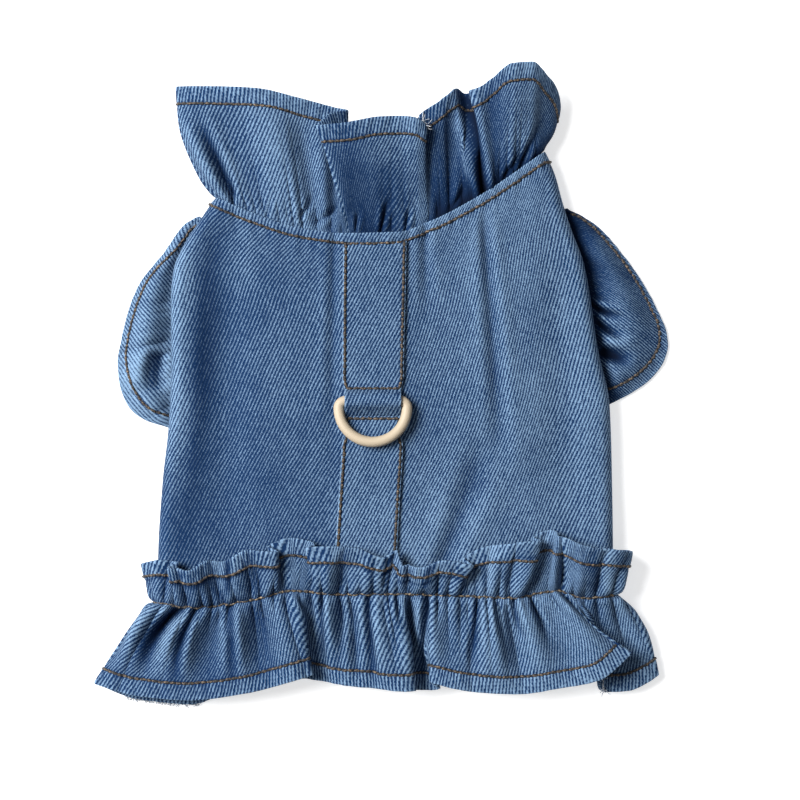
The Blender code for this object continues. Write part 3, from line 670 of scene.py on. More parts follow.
def frays(name, line, count, spread, lean, length, seed):
    """Loose weft threads that come out along a raw edge and curl, each with its own length."""
    chance = np.random.default_rng(seed)
    run = run_along(line, 0)
    root = chance.uniform(0, run[-1], count)
    start = np.stack([np.interp(root, run, line[:, k]) for k in range(3)], axis=-1)
    start = start + chance.normal(0, FRAY_RADIUS, (count, 3))
    heading = unit(chance.normal(0, 1, (count, 3)) * spread + lean)
    curl = unit(chance.normal(0, 1, (count, 3)) * spread)
    t = np.linspace(0, 1, 7)[:, None, None]
    reach = (length * chance.uniform(0.4, 1.0, count))[:, None]
    wriggle = 0.12 * np.sin(5 * t + root[:, None] / MM)
    path = start + reach * (heading * t + curl * (0.5 * t**2 + wriggle))
    up = [0.3, 0.2, 1.0]
    return tubes(name, path.transpose(1, 0, 2), up, FRAY_RADIUS, 4, frayed_thread, smooth=False)


# %% [markdown]
# ## Back panel
#
# The back is cut in one piece. It turns under at both sides and laps over the belly. Its neck
# edge is folded under and topstitched over the collar's gathers, which pucker it a little. The
# cloth is slack, so long soft folds run down it, and the handled parts are washed paler. Shade
# is painted into its creases, its neck groove and a hollow at the left, light onto the left
# edge, and the back is painted lighter towards the right.

# %% Sizes of the back panel
SIDE_LAP = 8.0 * MM
NECK_FOLD = 3.8 * MM
NECK_STITCH_ROW = 7
BACK_CREASES = table(
    CREASE_COLUMNS,
    (39.5, 152.0, 48.5, 30.0, 0.0, 3.8, 1.5),
    (-20.6, 150.0, -21.5, 40.0, 0.0, 3.0, 0.9),
    (21.5, 10.0, 47.0, 84.0, 1.0, 6.5, 1.5),
    (15.5, 152.0, 17.0, 105.0, 0.0, 3.0, 0.9),
)


# %% Hang a cloth on the dress
def dress_cloth(obj, node, with_pieces=()):
    """Hangs a finished cloth on the dress's body and hides the solid part it stands for."""
    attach(obj, "dress")
    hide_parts(node)


# %% Folds and wash of the back
def lap_end(down):
    """Place around the section where the back panel ends, SIDE_LAP in under the body."""
    half = body_width(down)[1]
    turn = side_turn(half)
    return 1 + turn + (1 - turn) * SIDE_LAP / (half - SIDE_RADIUS)


def back_folds(x, y, distance):
    """The back's folds: puckers at the neck's seam, its groove, soft waves and long creases."""
    pucker = np.sin(waves(x, 4.6 * MM, 1.3)) * bell(distance, NECK_FOLD, 3.4 * MM)
    groove = bell(distance, NECK_FOLD, 0.45 * MM)
    across = np.sin(x / (17 * MM) + 1.1 * np.sin(y / (31 * MM)))
    along = np.sin(y / (23 * MM) + 0.8 * np.sin(x / (26 * MM)) + 1.0)
    return pucker, groove, across * along, creased(x, y, BACK_CREASES)


def back_relief(x, down, distance, pucker, groove, soft, slack):
    """Height of the folds in millimetres: hollows at the sides, no soft waves by the strap."""
    drag = np.sin(waves(x, 9.5 * MM, 0.4)) * np.exp(-distance / (9 * MM)) * eased(distance / (4 * MM))
    soft = soft * (1 - bell(x, -5.5 * MM, 16 * MM, 4)) * eased(distance / (20 * MM))
    left = bell(x, -64 * MM, 8 * MM) * bell(down, 0.45, 0.36)
    right = bell(x, 70 * MM, 8 * MM) * bell(down, 0.45, 0.33)
    return 0.16 * pucker + 0.28 * drag + 0.30 * soft - 0.22 * groove - 1.9 * left - 1.0 * right + slack


def back_wash_and_shading(x, down, distance, slack):
    """Tone of the back: painted shade in a band along the left hollow, a painted highlight on the
    left edge's rim, pale patches, a rubbed neck edge, painted shade in the creases, and painted
    light that grows towards the right.
    """
    painted_shade_band = bell(x, -(67 + 17 * down) * MM, 6 * MM) * bell(down, 0.5, 0.42, 4)
    rim = bell(x, -84 * MM, 6 * MM) * (1 - eased((down - 0.5) / 0.3))
    patch = bell(x, -56 * MM, 8 * MM) * bell(down, 0.12, 0.14)
    low = bell(x, 6 * MM, 24 * MM) * eased((down - 0.6) / 0.2)
    edge = np.exp(-distance / (0.5 * MM))
    # Painted shade in the crease hollows and the left band, a painted highlight on the rim.
    wear_and_shading = 0.12 * slack - 0.15 * painted_shade_band + 0.5 * rim + 0.10 * patch + 0.12 * low
    # Paler rubbed neck edge, and painted light growing towards the right.
    return wear_and_shading + 0.28 * edge + 0.17 * x / BODY_HALF_WIDTH


# %% Back panel
def back_panel():
    """Rows run down from the neck in millimetres near its turned edge, then evenly."""
    near = MM * np.array([0.0, 0.25, 0.6, 1.2, 1.9, 2.6, 3.2, 3.6, 3.9, 4.3, 4.8, 5.6, 6.6, 8.0])
    down = np.concatenate([near / BODY_LENGTH, np.linspace(9.5 * MM / BODY_LENGTH, 1.0, 118)])
    share = np.linspace(-1, 1, 221)[:, None]
    share = share * (1.22 - 0.22 * share**2)
    around = share * lap_end(down) * np.ones_like(down)
    middle = body_surface(around, down)
    x, distance = middle[..., 0], down * BODY_LENGTH
    on_top = eased((1.0 - np.abs(around)) / 0.06)
    border = eased((NECK_FOLD + 0.5 * MM - distance) / (0.8 * MM))
    over_strap = border * bell(x, -4.6 * MM, 13 * MM, 6) * on_top
    pucker, groove, soft, slack = back_folds(x, middle[..., 1], distance)
    relief = back_relief(x, down, distance, pucker, groove, soft, slack)
    height = (relief * on_top + 0.9 * over_strap) * MM
    middle = middle - normals_of(middle, False) * height[..., None]
    thick = CLOTH * (0.85 + 0.5 * border + 1.0 * over_strap - 0.35 * np.exp(-distance / (0.35 * MM)))
    across = run_along(middle, 0)
    across = across - across[across.shape[0] // 2]
    flat = np.stack([across, -distance * np.ones_like(x)], axis=-1)
    wear_and_shading = back_wash_and_shading(x, down, distance, slack) + 0.05 * soft
    # Paler turned border and pucker ridges from wear, painted shade in the neck groove.
    wear_and_shading = wear_and_shading + 0.10 * border + 0.10 * pucker * on_top - 0.26 * groove
    panel, outer, up = cloth_wall("denim_back", middle, flat, wear_and_shading, thick, face_up=-1)
    row = NECK_STITCH_ROW
    on_back = np.abs(around[:, row]) < 1.02
    line = stitches("neck_topstitch", outer[on_back, row], up[on_back, row])
    dress_cloth(
        panel,
        "back_panel",
        with_pieces=[line],
    )


back_panel()

# %% [markdown]
# ## Belly panel
#
# The underside, flat on the floor, scooped on both sides for the front legs. Its edges are
# narrow hems, and it is only seen from below and through the openings, so it stays plain.

# %% Sizes of the belly panel
SEAM_OVERLAP = 6.0 * MM
LEG_HOLE_WIDTH = 30.0 * MM
BELLY_HEM = 4.4 * MM
LEG_HOLE = table(
    "down scoop",
    (0.05, 0.00),
    (0.12, 0.62),
    (0.22, 0.96),
    (0.36, 1.00),
    (0.48, 0.70),
    (0.56, 0.00),
)


# %% Belly panel
def belly_edge(down):
    """Half width of the belly panel, scooped for the legs."""
    half = body_width(down)[1]
    full = half - SIDE_RADIUS - SIDE_LAP + SEAM_OVERLAP
    return full - LEG_HOLE_WIDTH * through(LEG_HOLE, "scoop", down)


def belly_panel():
    """Columns run from side to side, closer at the hems; rows run evenly down the body."""
    down = np.linspace(0, 1, 161)
    share = np.linspace(-1, 1, 141)[:, None]
    share = share * (1.3 - 0.3 * share**2)
    centre, half = body_width(down)[0], belly_edge(down)
    x = centre + share * half
    height = layer(0) + hem_lift(down)
    middle = np.stack([x, body_y(x, down), height + 0 * x], axis=-1)
    inset = (1 - np.abs(share)) * half
    rim = eased((5 * MM - inset) / (0.8 * MM))
    # Paler rim and edge from wear; the groove by the hem's stitches is darker, partly unrubbed and partly
    # painted shade.
    wear_and_shading = 0.12 * rim + 0.2 * np.exp(-inset / (0.6 * MM)) - 0.12 * bell(inset, BELLY_HEM, 0.5 * MM)
    panel = cloth_wall("denim_belly", middle, middle[..., :2], wear_and_shading, 0.95 * CLOTH)[0]
    below = np.tile([0.0, 0.0, -1.0], (len(down), 1))
    hole = (down > LEG_HOLE["down"][0]) & (down < LEG_HOLE["down"][-1])
    lines = []
    for side, name in ((-1, "left"), (1, "right")):
        edge_x = centre + side * (half - BELLY_HEM)
        line = np.stack([edge_x, body_y(edge_x, down), height - 0.475 * CLOTH + 0.2 * MM], axis=-1)
        lines.append(stitches(f"{name}_leg_hole_topstitch", line[hole], below[hole]))
    dress_cloth(
        panel,
        "belly_panel",
        with_pieces=lines,
    )


belly_panel()

# %% [markdown]
# ## Ruffles
#
# A ruffle is long cloth sewn to a shorter seam, so its free edge has to fold. Each row of its
# table says where along the seam a bit of edge hangs from, and where the folds have carried
# it. Where the column "across" turns back, the cloth lies over itself. It leaves its seam in
# tight gathers, which open into broad folds. Two sets of uneven pleats do it: narrow ones that
# die out within a centimetre, and wider ones that reach further. The hem is turned twice, so it
# is thicker and ropes a little as it is sewn.

# %% Turned hems
HEM_FOLD = 7.0 * MM
HEM_ROWS = MM * np.array([8.6, 7.9, 7.4, 7.0, 6.6, 6.0, 5.0, 4.0, 3.0, 2.0, 1.2, 0.6, 0.2, 0.0])
HEM_STITCH_ROW = -11


def hem_shape(along, from_edge, seed):
    """Extra thickness, ripple, wear and painted groove shade of a twice turned and sewn hem."""
    turned = eased((HEM_FOLD + 0.4 * MM - from_edge) / (0.7 * MM))
    rope = np.sin(waves(along + 0.5 * from_edge, 6.4 * MM, seed)) * eased((9 * MM - from_edge) / (3 * MM))
    groove = bell(from_edge, HEM_FOLD, 0.7 * MM)
    thick = 0.85 + 0.55 * turned - 0.5 * np.exp(-from_edge / (0.3 * MM))
    # Paler where the hem and its edge wear; darker in the stitch groove, partly unrubbed and partly
    # painted shade.
    wear_and_shading = 0.05 * turned + 0.03 * rope + 0.3 * np.exp(-from_edge / (0.8 * MM)) - 0.34 * groove
    return thick, 0.1 * MM * rope - 0.25 * MM * groove, wear_and_shading


def straight_grain(from_edge):
    """How much of the way over a turned hem its twill stands upright instead of slanting."""
    return 0.55 * (HEM_FOLD - from_edge).clip(0)


def flat_strip(along, grain):
    """Flat places of a ruffle's strip, with its first column once more at the far end."""
    grain = np.concatenate([grain, grain[:1]])
    return np.stack([np.broadcast_to(along[:, None], grain.shape), grain], axis=-1)


# %% Curves from seam to edge
def leaning(folds, at, lean):
    """How soon each curve turns outwards along X (from the table), Y and Z: 0 late, 1 at once."""
    return np.insert(np.tile(lean, (len(at), 1)), 0, around_ring(folds, "lean", at), axis=1)


def swept(seam, edge, lean, away):
    """Curves from the seam to the free edge, by a control point between the two."""
    control = seam + (edge - seam) * lean
    t = away[..., None]
    return (1 - t) ** 2 * seam[:, None] + 2 * t * (1 - t) * control[:, None] + t**2 * edge[:, None]


def rows_to_hem(seam, edge, lean, inner):
    """Row places that run evenly from the seam, then close together over the turned hem."""
    speed = np.linalg.norm(2 * (edge - seam) * (1 - lean), axis=1)[:, None]
    hem = 1 - HEM_ROWS / speed
    return np.concatenate([inner * hem[:, :1], hem], axis=1)


def free_edge(folds, at, start, depth, rise):
    """The free edge of a ruffle from its table of folds."""
    x = BODY_HALF_WIDTH * around_ring(folds, "across", at)
    y = start + depth * around_ring(folds, "out", at)
    z = layer(0) + rise * around_ring(folds, "rise", at)
    return np.stack([x, y, z], axis=-1)


def even_places(count, edge):
    """Places along the seam at equal steps of the free edge's length, closer over the back."""
    at = np.linspace(0, 2, 4001)
    length = np.linalg.norm(np.diff(edge(at), axis=0), axis=1)
    weight = np.where((at > 1.04) & (at < 1.96), 0.45, 1.0)[1:]
    run = np.concatenate([[0.0], np.cumsum(length * weight)])
    return np.interp(np.linspace(0, run[-1], count + 1)[:-1], run, at)


# %% Gathers
def gathered(seam_run, along, from_seam, from_edge, fine, broad, seed):
    """Height of the gathers in metres, and their tone: paler on the ridges, where denim
    wears, and darker in the creases, which is painted shade.

    seam_run is the distance along the seam, along the one along the free edge.
    """
    reach = 9 * MM * (1 + 0.6 * np.sin(waves(seam_run, 31 * MM, seed)))
    narrow = pleat(waves(seam_run, 5.0 * MM, seed)) * np.exp(-from_seam / reach)
    narrow = narrow * (0.8 + 0.3 * np.sin(waves(seam_run, 23 * MM, seed + 2)))
    pressed = 0.04 + 0.96 * eased(from_seam / (2.2 * MM))
    reach = 22 * MM * (1 + 0.5 * np.sin(waves(seam_run, 43 * MM, seed + 4)))
    middling = pleat(waves(seam_run, 12.5 * MM, seed + 1.2)) * eased(from_seam / (5 * MM))
    middling = middling * np.exp(-((from_seam / reach) ** 1.5))
    wide = np.sin(waves(along, 27 * MM, seed + 1.7)) * eased(from_seam / (12 * MM))
    wide = wide * eased(from_edge / (20 * MM))
    height = fine * narrow * pressed + broad * (0.75 * middling + 0.8 * wide)
    # Painted shade in the creases, paler wear on the ridges.
    return height, 0.20 * narrow + 0.15 * middling + 0.06 * wide


# %% [markdown]
# ## Collar
#
# The collar stands out of the neck all round. Its back half is the part that shows: a lobe to
# the left, a folded lobe lying over it, a deep shadowed recess and a tall lobe to the right.
# One table gives the folds, one the wash with painted shade and how full the gathers stand,
# both at places along the seam, and one the creases. A cloth simulation would fold it too, but
# not as in the photo.

# %% Folds of the collar
COLLAR_DEPTH = 46.0 * MM
COLLAR_RISE = 22.0 * MM
COLLAR_TUCK = 5.0 * MM
COLLAR_FOLDS = table(
    "seam across out rise lean",
    (0.000, -0.919, 1.282, 0.30, 1.00),
    (0.100, -0.740, 1.271, 0.56, 0.75),
    (0.210, -0.558, 1.247, 0.68, 0.45),
    (0.300, -0.382, 1.169, 0.60, 0.30),
    (0.352, -0.225, 1.090, 0.50, 0.28),
    (0.370, -0.166, 1.060, 0.60, 0.28),
    (0.386, -0.236, 1.030, 0.80, 0.28),
    (0.404, -0.299, 0.912, 0.94, 0.28),
    (0.432, -0.190, 0.930, 1.00, 0.26),
    (0.488, -0.031, 0.988, 0.94, 0.22),
    (0.560, 0.060, 0.997, 0.88, 0.18),
    (0.610, 0.125, 0.985, 0.92, 0.14),
    (0.635, 0.171, 0.930, 0.82, 0.12),
    (0.655, 0.145, 1.000, 0.60, 0.12),
    (0.690, 0.235, 1.139, 0.60, 0.16),
    (0.730, 0.312, 1.261, 0.40, 0.22),
    (0.752, 0.345, 1.220, 0.42, 0.26),
    (0.780, 0.392, 1.232, 0.74, 0.32),
    (0.815, 0.470, 1.330, 0.84, 0.40),
    (0.870, 0.550, 1.447, 0.94, 0.55),
    (0.930, 0.642, 1.464, 0.88, 0.70),
    (0.965, 0.705, 1.360, 0.66, 0.80),
    (0.985, 0.750, 1.260, 0.46, 0.85),
    (1.000, 0.774, 1.120, 0.28, 0.85),
    (1.060, 0.690, 1.160, 0.07, 0.80),
    (1.200, 0.460, 1.180, 0.02, 0.55),
    (1.350, 0.200, 1.000, 0.05, 0.35),
    (1.500, -0.060, 0.950, 0.02, 0.30),
    (1.650, -0.320, 1.000, 0.05, 0.35),
    (1.800, -0.600, 1.140, 0.02, 0.55),
    (1.930, -0.820, 1.200, 0.08, 0.90),
)
# Tone along the seam: partly wash, and the darker places on the folded lobe, the recess and the right
# lobe are painted shade where they turn from the light.
COLLAR_WASH_AND_SHADING = table(
    "seam wash gathers",
    (0.000, 0.02, 1.0),
    (0.090, 0.00, 1.0),
    (0.170, 0.08, 1.0),
    (0.260, 0.20, 1.0),
    (0.310, 0.10, 1.0),
    (0.345, -0.08, 1.0),
    (0.375, -0.16, 0.8),
    (0.398, -0.10, 0.6),
    (0.404, 0.04, 0.5),
    (0.414, -0.18, 0.4),
    (0.450, -0.26, 0.25),
    (0.495, -0.24, 0.25),
    (0.555, -0.10, 0.3),
    (0.610, 0.06, 0.4),
    (0.640, 0.02, 0.5),
    (0.662, -0.26, 0.6),
    (0.700, -0.20, 0.7),
    (0.745, -0.26, 0.7),
    (0.775, -0.24, 0.6),
    (0.840, -0.16, 0.6),
    (0.880, -0.06, 0.6),
    (0.930, 0.05, 0.6),
    (0.965, -0.02, 0.8),
    (1.000, -0.09, 1.0),
    (2.000, 0.00, 1.0),
)
COLLAR_CREASES = table(
    CREASE_COLUMNS,
    (-36.0, 151.5, -29.0, 163.0, 1.5, 1.4, 1.2),
    (-28.0, 150.0, -17.0, 160.0, 1.0, 1.5, 1.3),
    (-61.0, 156.0, -62.0, 168.0, 0.0, 1.2, 0.9),
    (-48.0, 153.0, -45.0, 163.0, 0.5, 1.1, 0.9),
    (-2.0, 147.0, 1.5, 161.0, 0.0, 1.4, 1.5),
    (-12.0, 147.0, -11.0, 155.0, 0.0, 1.1, 1.1),
    (8.0, 147.0, 9.5, 157.0, 0.0, 1.2, 1.2),
    (39.5, 160.0, 23.5, 224.0, 2.0, 2.9, 4.2),
    (-60.0, 160.0, -80.0, 200.0, 0.0, 3.0, 2.6),
    (27.0, 157.0, 32.5, 168.0, 0.5, 1.4, 1.0),
    (47.0, 168.5, 54.0, 180.0, 0.5, 1.3, 1.1),
    (53.0, 171.5, 61.5, 192.0, 0.5, 1.6, 1.4),
)
print("collar:", len(COLLAR_FOLDS["seam"]), "rows of folds and", len(COLLAR_CREASES["depth"]), "creases")


# %% Collar
def collar_edge(at):
    """The collar's free edge at places along its seam."""
    return free_edge(COLLAR_FOLDS, at, BODY_LENGTH, COLLAR_DEPTH, COLLAR_RISE)


def collar_shade(at, from_seam):
    """Painted shade in the recess and at the folded lobe's foot, painted light at the lobes' tips."""
    recess = 0.40 * bell(from_seam, 0, 10 * MM) + 0.2 * bell(from_seam, 0, 4 * MM)
    recess = recess * eased((at - 0.62) / 0.06)
    foot = 0.24 * (1 - eased((from_seam - 6 * MM) / (20 * MM)))
    painted_light = 0.32 * eased((from_seam - 24 * MM) / (12 * MM)) * bell(at, 0.51, 0.07)
    painted_light = painted_light + 0.3 * eased((from_seam - 34 * MM) / (8 * MM)) * bell(at, 0.92, 0.05)
    return recess + foot * bell(at, 0.51, 0.07) - painted_light


def collar_ruffle():
    """Two rows tucked into the neck, then curves that sweep from the seam to the free edge."""
    at = even_places(860, collar_edge)
    lean = leaning(COLLAR_FOLDS, at, (0.5, 0.8))
    inside = -STEP - GAP
    seam, edge = seam_point(at, 0.0, inside), collar_edge(at)
    away = rows_to_hem(seam, edge, lean, np.linspace(0, 1, 32)[:-1])
    tuck = np.array([COLLAR_TUCK, 0.4 * COLLAR_TUCK]) / BODY_LENGTH
    tucked = seam_point(at[:, None], tuck, inside)
    middle = np.concatenate([tucked, swept(seam, edge, lean, away)], axis=1)
    along = run_along(np.concatenate([edge, edge[:1]]), 0)
    place = along[:-1, None]
    down = run_along(middle, 1)
    from_seam = down - down[:, 2:3]
    from_edge = down[:, -1:] - down
    seam_run = run_along(seam, 0)[:, None]
    height, ridge = gathered(seam_run, place, from_seam.clip(0), from_edge, 1.8 * MM, 2.2 * MM, 0.7)
    thick, ripple, worn_and_shaded = hem_shape(place, from_edge, 2.1)
    height = height * through(COLLAR_WASH_AND_SHADING, "gathers", at)[:, None]
    dent = creased(middle[..., 0], middle[..., 1], COLLAR_CREASES) * (at < 1.0)[:, None]
    middle = middle + normals_of(middle, True) * (height + ripple + dent * MM)[..., None]
    middle[..., 2] = np.maximum(middle[..., 2], layer(0))
    # Wash and painted shade along the seam, painted shade in the recess, painted light at the tips, and
    # crease hollows painted darker.
    wash = through(COLLAR_WASH_AND_SHADING, "wash", at)[:, None] - collar_shade(at[:, None], from_seam)
    wear_and_shading = ridge + worn_and_shaded + 0.16 * dent + wash
    flat = flat_strip(along, from_seam - straight_grain(from_edge))
    ruffle, outer, up = cloth_wall("denim_collar", middle, flat, wear_and_shading, thick * CLOTH, ring=True)
    line = stitches("collar_topstitch", outer[:, HEM_STITCH_ROW], up[:, HEM_STITCH_ROW], closed=True)
    curl = outer[(at > 0.632) & (at < 0.652), -3]
    loose = frays("collar_frays", curl, 16, (0.5, 1.2, 0.5), (0.0, 0.0, 0.2), 3.2 * MM, 4)
    dress_cloth(
        ruffle,
        "collar_ruffle",
        with_pieces=[line, loose],
    )


collar_ruffle()

# %% [markdown]
# ## Hem ruffle
#
# One strip, gathered 16 mm below its upper edge and sewn right round the body. The short part
# above the line stands up as a frill, and the long part below it is the skirt. The frill is
# placed from the body's own surface, so it stays clear of it, and the skirt hangs free.

# %% Folds of the hem ruffle
FRILL_RISE = 8.0 * MM
FRILL_STITCH = 6.0 * MM
SKIRT_DEPTH = 40.0 * MM
SKIRT_RISE = 18.0 * MM
SKIRT_FOLDS = table(
    "seam across out rise lean",
    (0.000, -1.283, 0.885, 0.26, 0.60),
    (0.020, -1.225, 0.920, 0.42, 0.60),
    (0.050, -1.100, 0.985, 0.58, 0.54),
    (0.120, -0.866, 1.022, 0.76, 0.50),
    (0.200, -0.602, 0.945, 0.84, 0.32),
    (0.270, -0.382, 0.805, 1.00, 0.20),
    (0.300, -0.321, 0.765, 0.86, 0.15),
    (0.313, -0.360, 0.800, 0.64, 0.15),
    (0.330, -0.275, 0.845, 0.48, 0.15),
    (0.370, -0.185, 0.875, 0.66, 0.20),
    (0.430, -0.030, 0.905, 0.80, 0.25),
    (0.500, 0.085, 0.925, 0.97, 0.20),
    (0.525, 0.127, 0.925, 0.84, 0.15),
    (0.538, 0.098, 0.925, 0.60, 0.15),
    (0.557, 0.163, 0.935, 0.44, 0.15),
    (0.582, 0.238, 0.915, 0.58, 0.15),
    (0.600, 0.198, 0.835, 0.84, 0.16),
    (0.640, 0.299, 0.895, 1.00, 0.22),
    (0.690, 0.409, 0.935, 0.94, 0.30),
    (0.750, 0.585, 0.955, 0.88, 0.36),
    (0.800, 0.760, 0.895, 0.92, 0.40),
    (0.850, 0.936, 0.810, 1.00, 0.40),
    (0.880, 1.077, 0.550, 0.88, 0.36),
    (0.900, 1.015, 0.680, 0.70, 0.30),
    (0.922, 0.940, 0.880, 0.49, 0.26),
    (0.945, 0.972, 0.965, 0.34, 0.32),
    (0.972, 1.075, 0.950, 0.30, 0.55),
    (1.000, 1.205, 0.800, 0.22, 0.65),
    (1.050, 1.110, 0.780, 0.06, 0.50),
    (1.150, 0.800, 0.900, 0.10, 0.40),
    (1.280, 0.360, 0.840, 0.02, 0.30),
    (1.420, 0.000, 0.900, 0.11, 0.30),
    (1.560, -0.380, 0.840, 0.02, 0.30),
    (1.700, -0.690, 0.960, 0.10, 0.35),
    (1.820, -0.866, 1.100, 0.03, 0.50),
    (1.930, -1.110, 1.045, 0.03, 0.54),
    (1.975, -1.245, 0.930, 0.08, 0.60),
)
FRILL_FOLDS = table(
    "seam edge out rise",
    (0.000, 0.000, 0.875, 0.54),
    (0.025, 0.030, 0.990, 0.28),
    (0.046, 0.062, 1.000, 0.44),
    (0.062, 0.042, 0.860, 0.78),
    (0.100, 0.080, 0.840, 0.98),
    (0.140, 0.120, 1.040, 0.80),
    (0.180, 0.155, 1.000, 0.62),
    (0.230, 0.212, 1.190, 0.98),
    (0.262, 0.268, 1.060, 0.82),
    (0.280, 0.254, 1.200, 0.46),
    (0.306, 0.300, 1.330, 0.20),
    (0.330, 0.350, 1.250, 0.36),
    (0.346, 0.330, 1.130, 0.72),
    (0.380, 0.385, 1.240, 0.96),
    (0.440, 0.440, 1.200, 0.84),
    (0.490, 0.500, 0.940, 0.76),
    (0.512, 0.525, 1.130, 0.42),
    (0.535, 0.540, 0.740, 0.66),
    (0.580, 0.580, 0.720, 0.80),
    (0.620, 0.625, 0.860, 0.98),
    (0.655, 0.684, 0.760, 0.84),
    (0.675, 0.671, 0.900, 0.48),
    (0.712, 0.720, 1.160, 0.26),
    (0.762, 0.785, 1.200, 0.98),
    (0.792, 0.828, 1.120, 0.82),
    (0.812, 0.814, 1.230, 0.46),
    (0.830, 0.842, 1.280, 0.22),
    (0.846, 0.862, 1.240, 0.38),
    (0.868, 0.866, 1.140, 0.78),
    (0.900, 0.910, 1.120, 0.96),
    (0.950, 0.965, 0.980, 0.88),
    (1.000, 1.000, 0.900, 0.66),
    (1.025, 1.025, 0.900, 0.00),
    (1.300, 1.300, 0.960, 0.00),
    (1.500, 1.500, 1.080, 0.00),
    (1.700, 1.700, 0.960, 0.00),
    (1.975, 1.975, 0.960, 0.00),
)
# Tone along the seam, paler and darker. From 1.80 to 1.96 the under layer at the lower left is paler: a
# worn edge, and painted light over the shade it lies in.
HEM_WASH_AND_SHADING = table(
    "seam wash",
    (0.00, -0.04),
    (0.04, -0.06),
    (0.10, -0.14),
    (0.26, -0.06),
    (0.34, 0.00),
    (0.60, 0.02),
    (0.75, 0.12),
    (0.86, 0.15),
    (0.92, -0.04),
    (0.97, 0.08),
    (1.00, 0.22),
    (1.75, 0.00),
    (1.80, 0.25),
    (1.96, 0.25),
    (2.00, 0.05),
)
SKIRT_CREASES = table(
    CREASE_COLUMNS,
    (-73.5, -1.0, -84.5, -38.0, 3.0, 2.5, 3.4),
    (-81.0, -4.0, -99.0, -32.0, 4.0, 4.0, 4.2),
    (-62.0, 0.0, -60.5, -40.0, 0.0, 2.6, 2.4),
    (-25.6, 1.0, -24.5, -28.0, 0.0, 2.0, 2.2),
    (-15.5, 1.0, -14.5, -40.0, 0.0, 2.4, -1.6),
    (7.0, 1.0, 8.2, -38.0, 0.0, 2.8, -1.8),
    (16.8, 1.0, 15.0, -40.0, 0.0, 2.6, 3.2),
    (-63.0, -2.0, -64.0, -18.0, 0.0, 1.2, 0.9),
    (-7.0, 3.0, -4.5, -42.0, 0.0, 2.5, 2.8),
    (4.0, 2.0, 5.0, -16.0, 0.0, 1.4, 1.0),
    (37.0, 0.0, 34.5, -34.0, 0.0, 2.2, 2.2),
    (43.5, 1.0, 47.5, -19.0, 1.0, 1.5, 1.7),
    (51.0, 1.0, 57.5, -21.0, 1.0, 1.8, 2.4),
    (57.5, 1.5, 66.5, -18.0, 0.5, 1.7, 2.2),
    (66.0, 2.0, 79.0, -14.0, 0.5, 1.4, 1.2),
)
# Painted folds on the frill: they change only its tone, with painted shade along a hollow and painted
# light along a ridge where the depth is negative.
FRILL_PAINTED_FOLDS = table(
    CREASE_COLUMNS,
    (-62.6, 3.0, -62.6, 30.0, 0.0, 2.2, 2.4),
    (-20.6, 4.0, -19.4, 30.0, 0.0, 2.4, -1.8),
    (-3.0, 4.0, -2.2, 28.0, 0.0, 2.4, -2.0),
    (15.5, 6.0, 22.0, 34.0, 0.0, 2.6, 2.4),
    (34.0, 3.0, 31.0, 24.0, 0.0, 2.2, -1.8),
    (39.5, 4.0, 38.5, 28.0, 0.0, 2.0, 2.2),
    (56.5, 5.0, 66.0, 32.0, 0.0, 2.6, -1.8),
    (89.0, 2.0, 88.0, 30.0, 0.0, 4.0, -2.0),
)
print("skirt and frill:", len(SKIRT_FOLDS["seam"]), "and", len(FRILL_FOLDS["seam"]), "rows of folds")


# %% Hem ruffle
def skirt_edge(at):
    """The skirt's free edge at places along its seam."""
    return free_edge(SKIRT_FOLDS, at, 0.0, -SKIRT_DEPTH, SKIRT_RISE)


def frill_rows(at, base, up_rows):
    """The frill's rows from its free edge down to the seam, and how far it rises at each place."""
    place, out, rise = (around_ring(FRILL_FOLDS, c, at)[:, None] for c in ("edge", "out", "rise"))
    place_up = at[:, None] + (place - at[:, None]) * up_rows**1.5
    off = base + FRILL_RISE * rise * up_rows**0.7
    return seam_point(place_up, 1 - up_rows * out * FRILL_DEPTH / BODY_LENGTH, off), rise


def hem_threads(outer, up, at, seam_row, frill_row):
    """Three rows of stitches, and loose threads at the right corner and the lower left edge."""
    lines = []
    for name, row, material in (
        ("gathering_topstitch", seam_row, gathering_thread),
        ("skirt_topstitch", HEM_STITCH_ROW, golden_thread),
        ("frill_topstitch", frill_row, golden_thread),
    ):
        lines.append(stitches(name, outer[:, row], up[:, row], closed=True, material=material))
    corner = outer[int(np.argmin(np.abs(at - 0.942))), -13:-2] + [-0.3 * MM, 0.0, 0.6 * MM]
    lines.append(frays("corner_frays", corner, 16, (1.0, 1.0, 0.4), (-0.9, -0.6, 0.9), 3.2 * MM, 9))
    under = outer[(at > 1.79) & (at < 1.95), -1]
    lines.append(frays("lower_hem_frays", under, 110, (1.0, 0.35, 0.25), (0.0, -0.7, 0.2), 1.5 * MM, 5))
    return lines


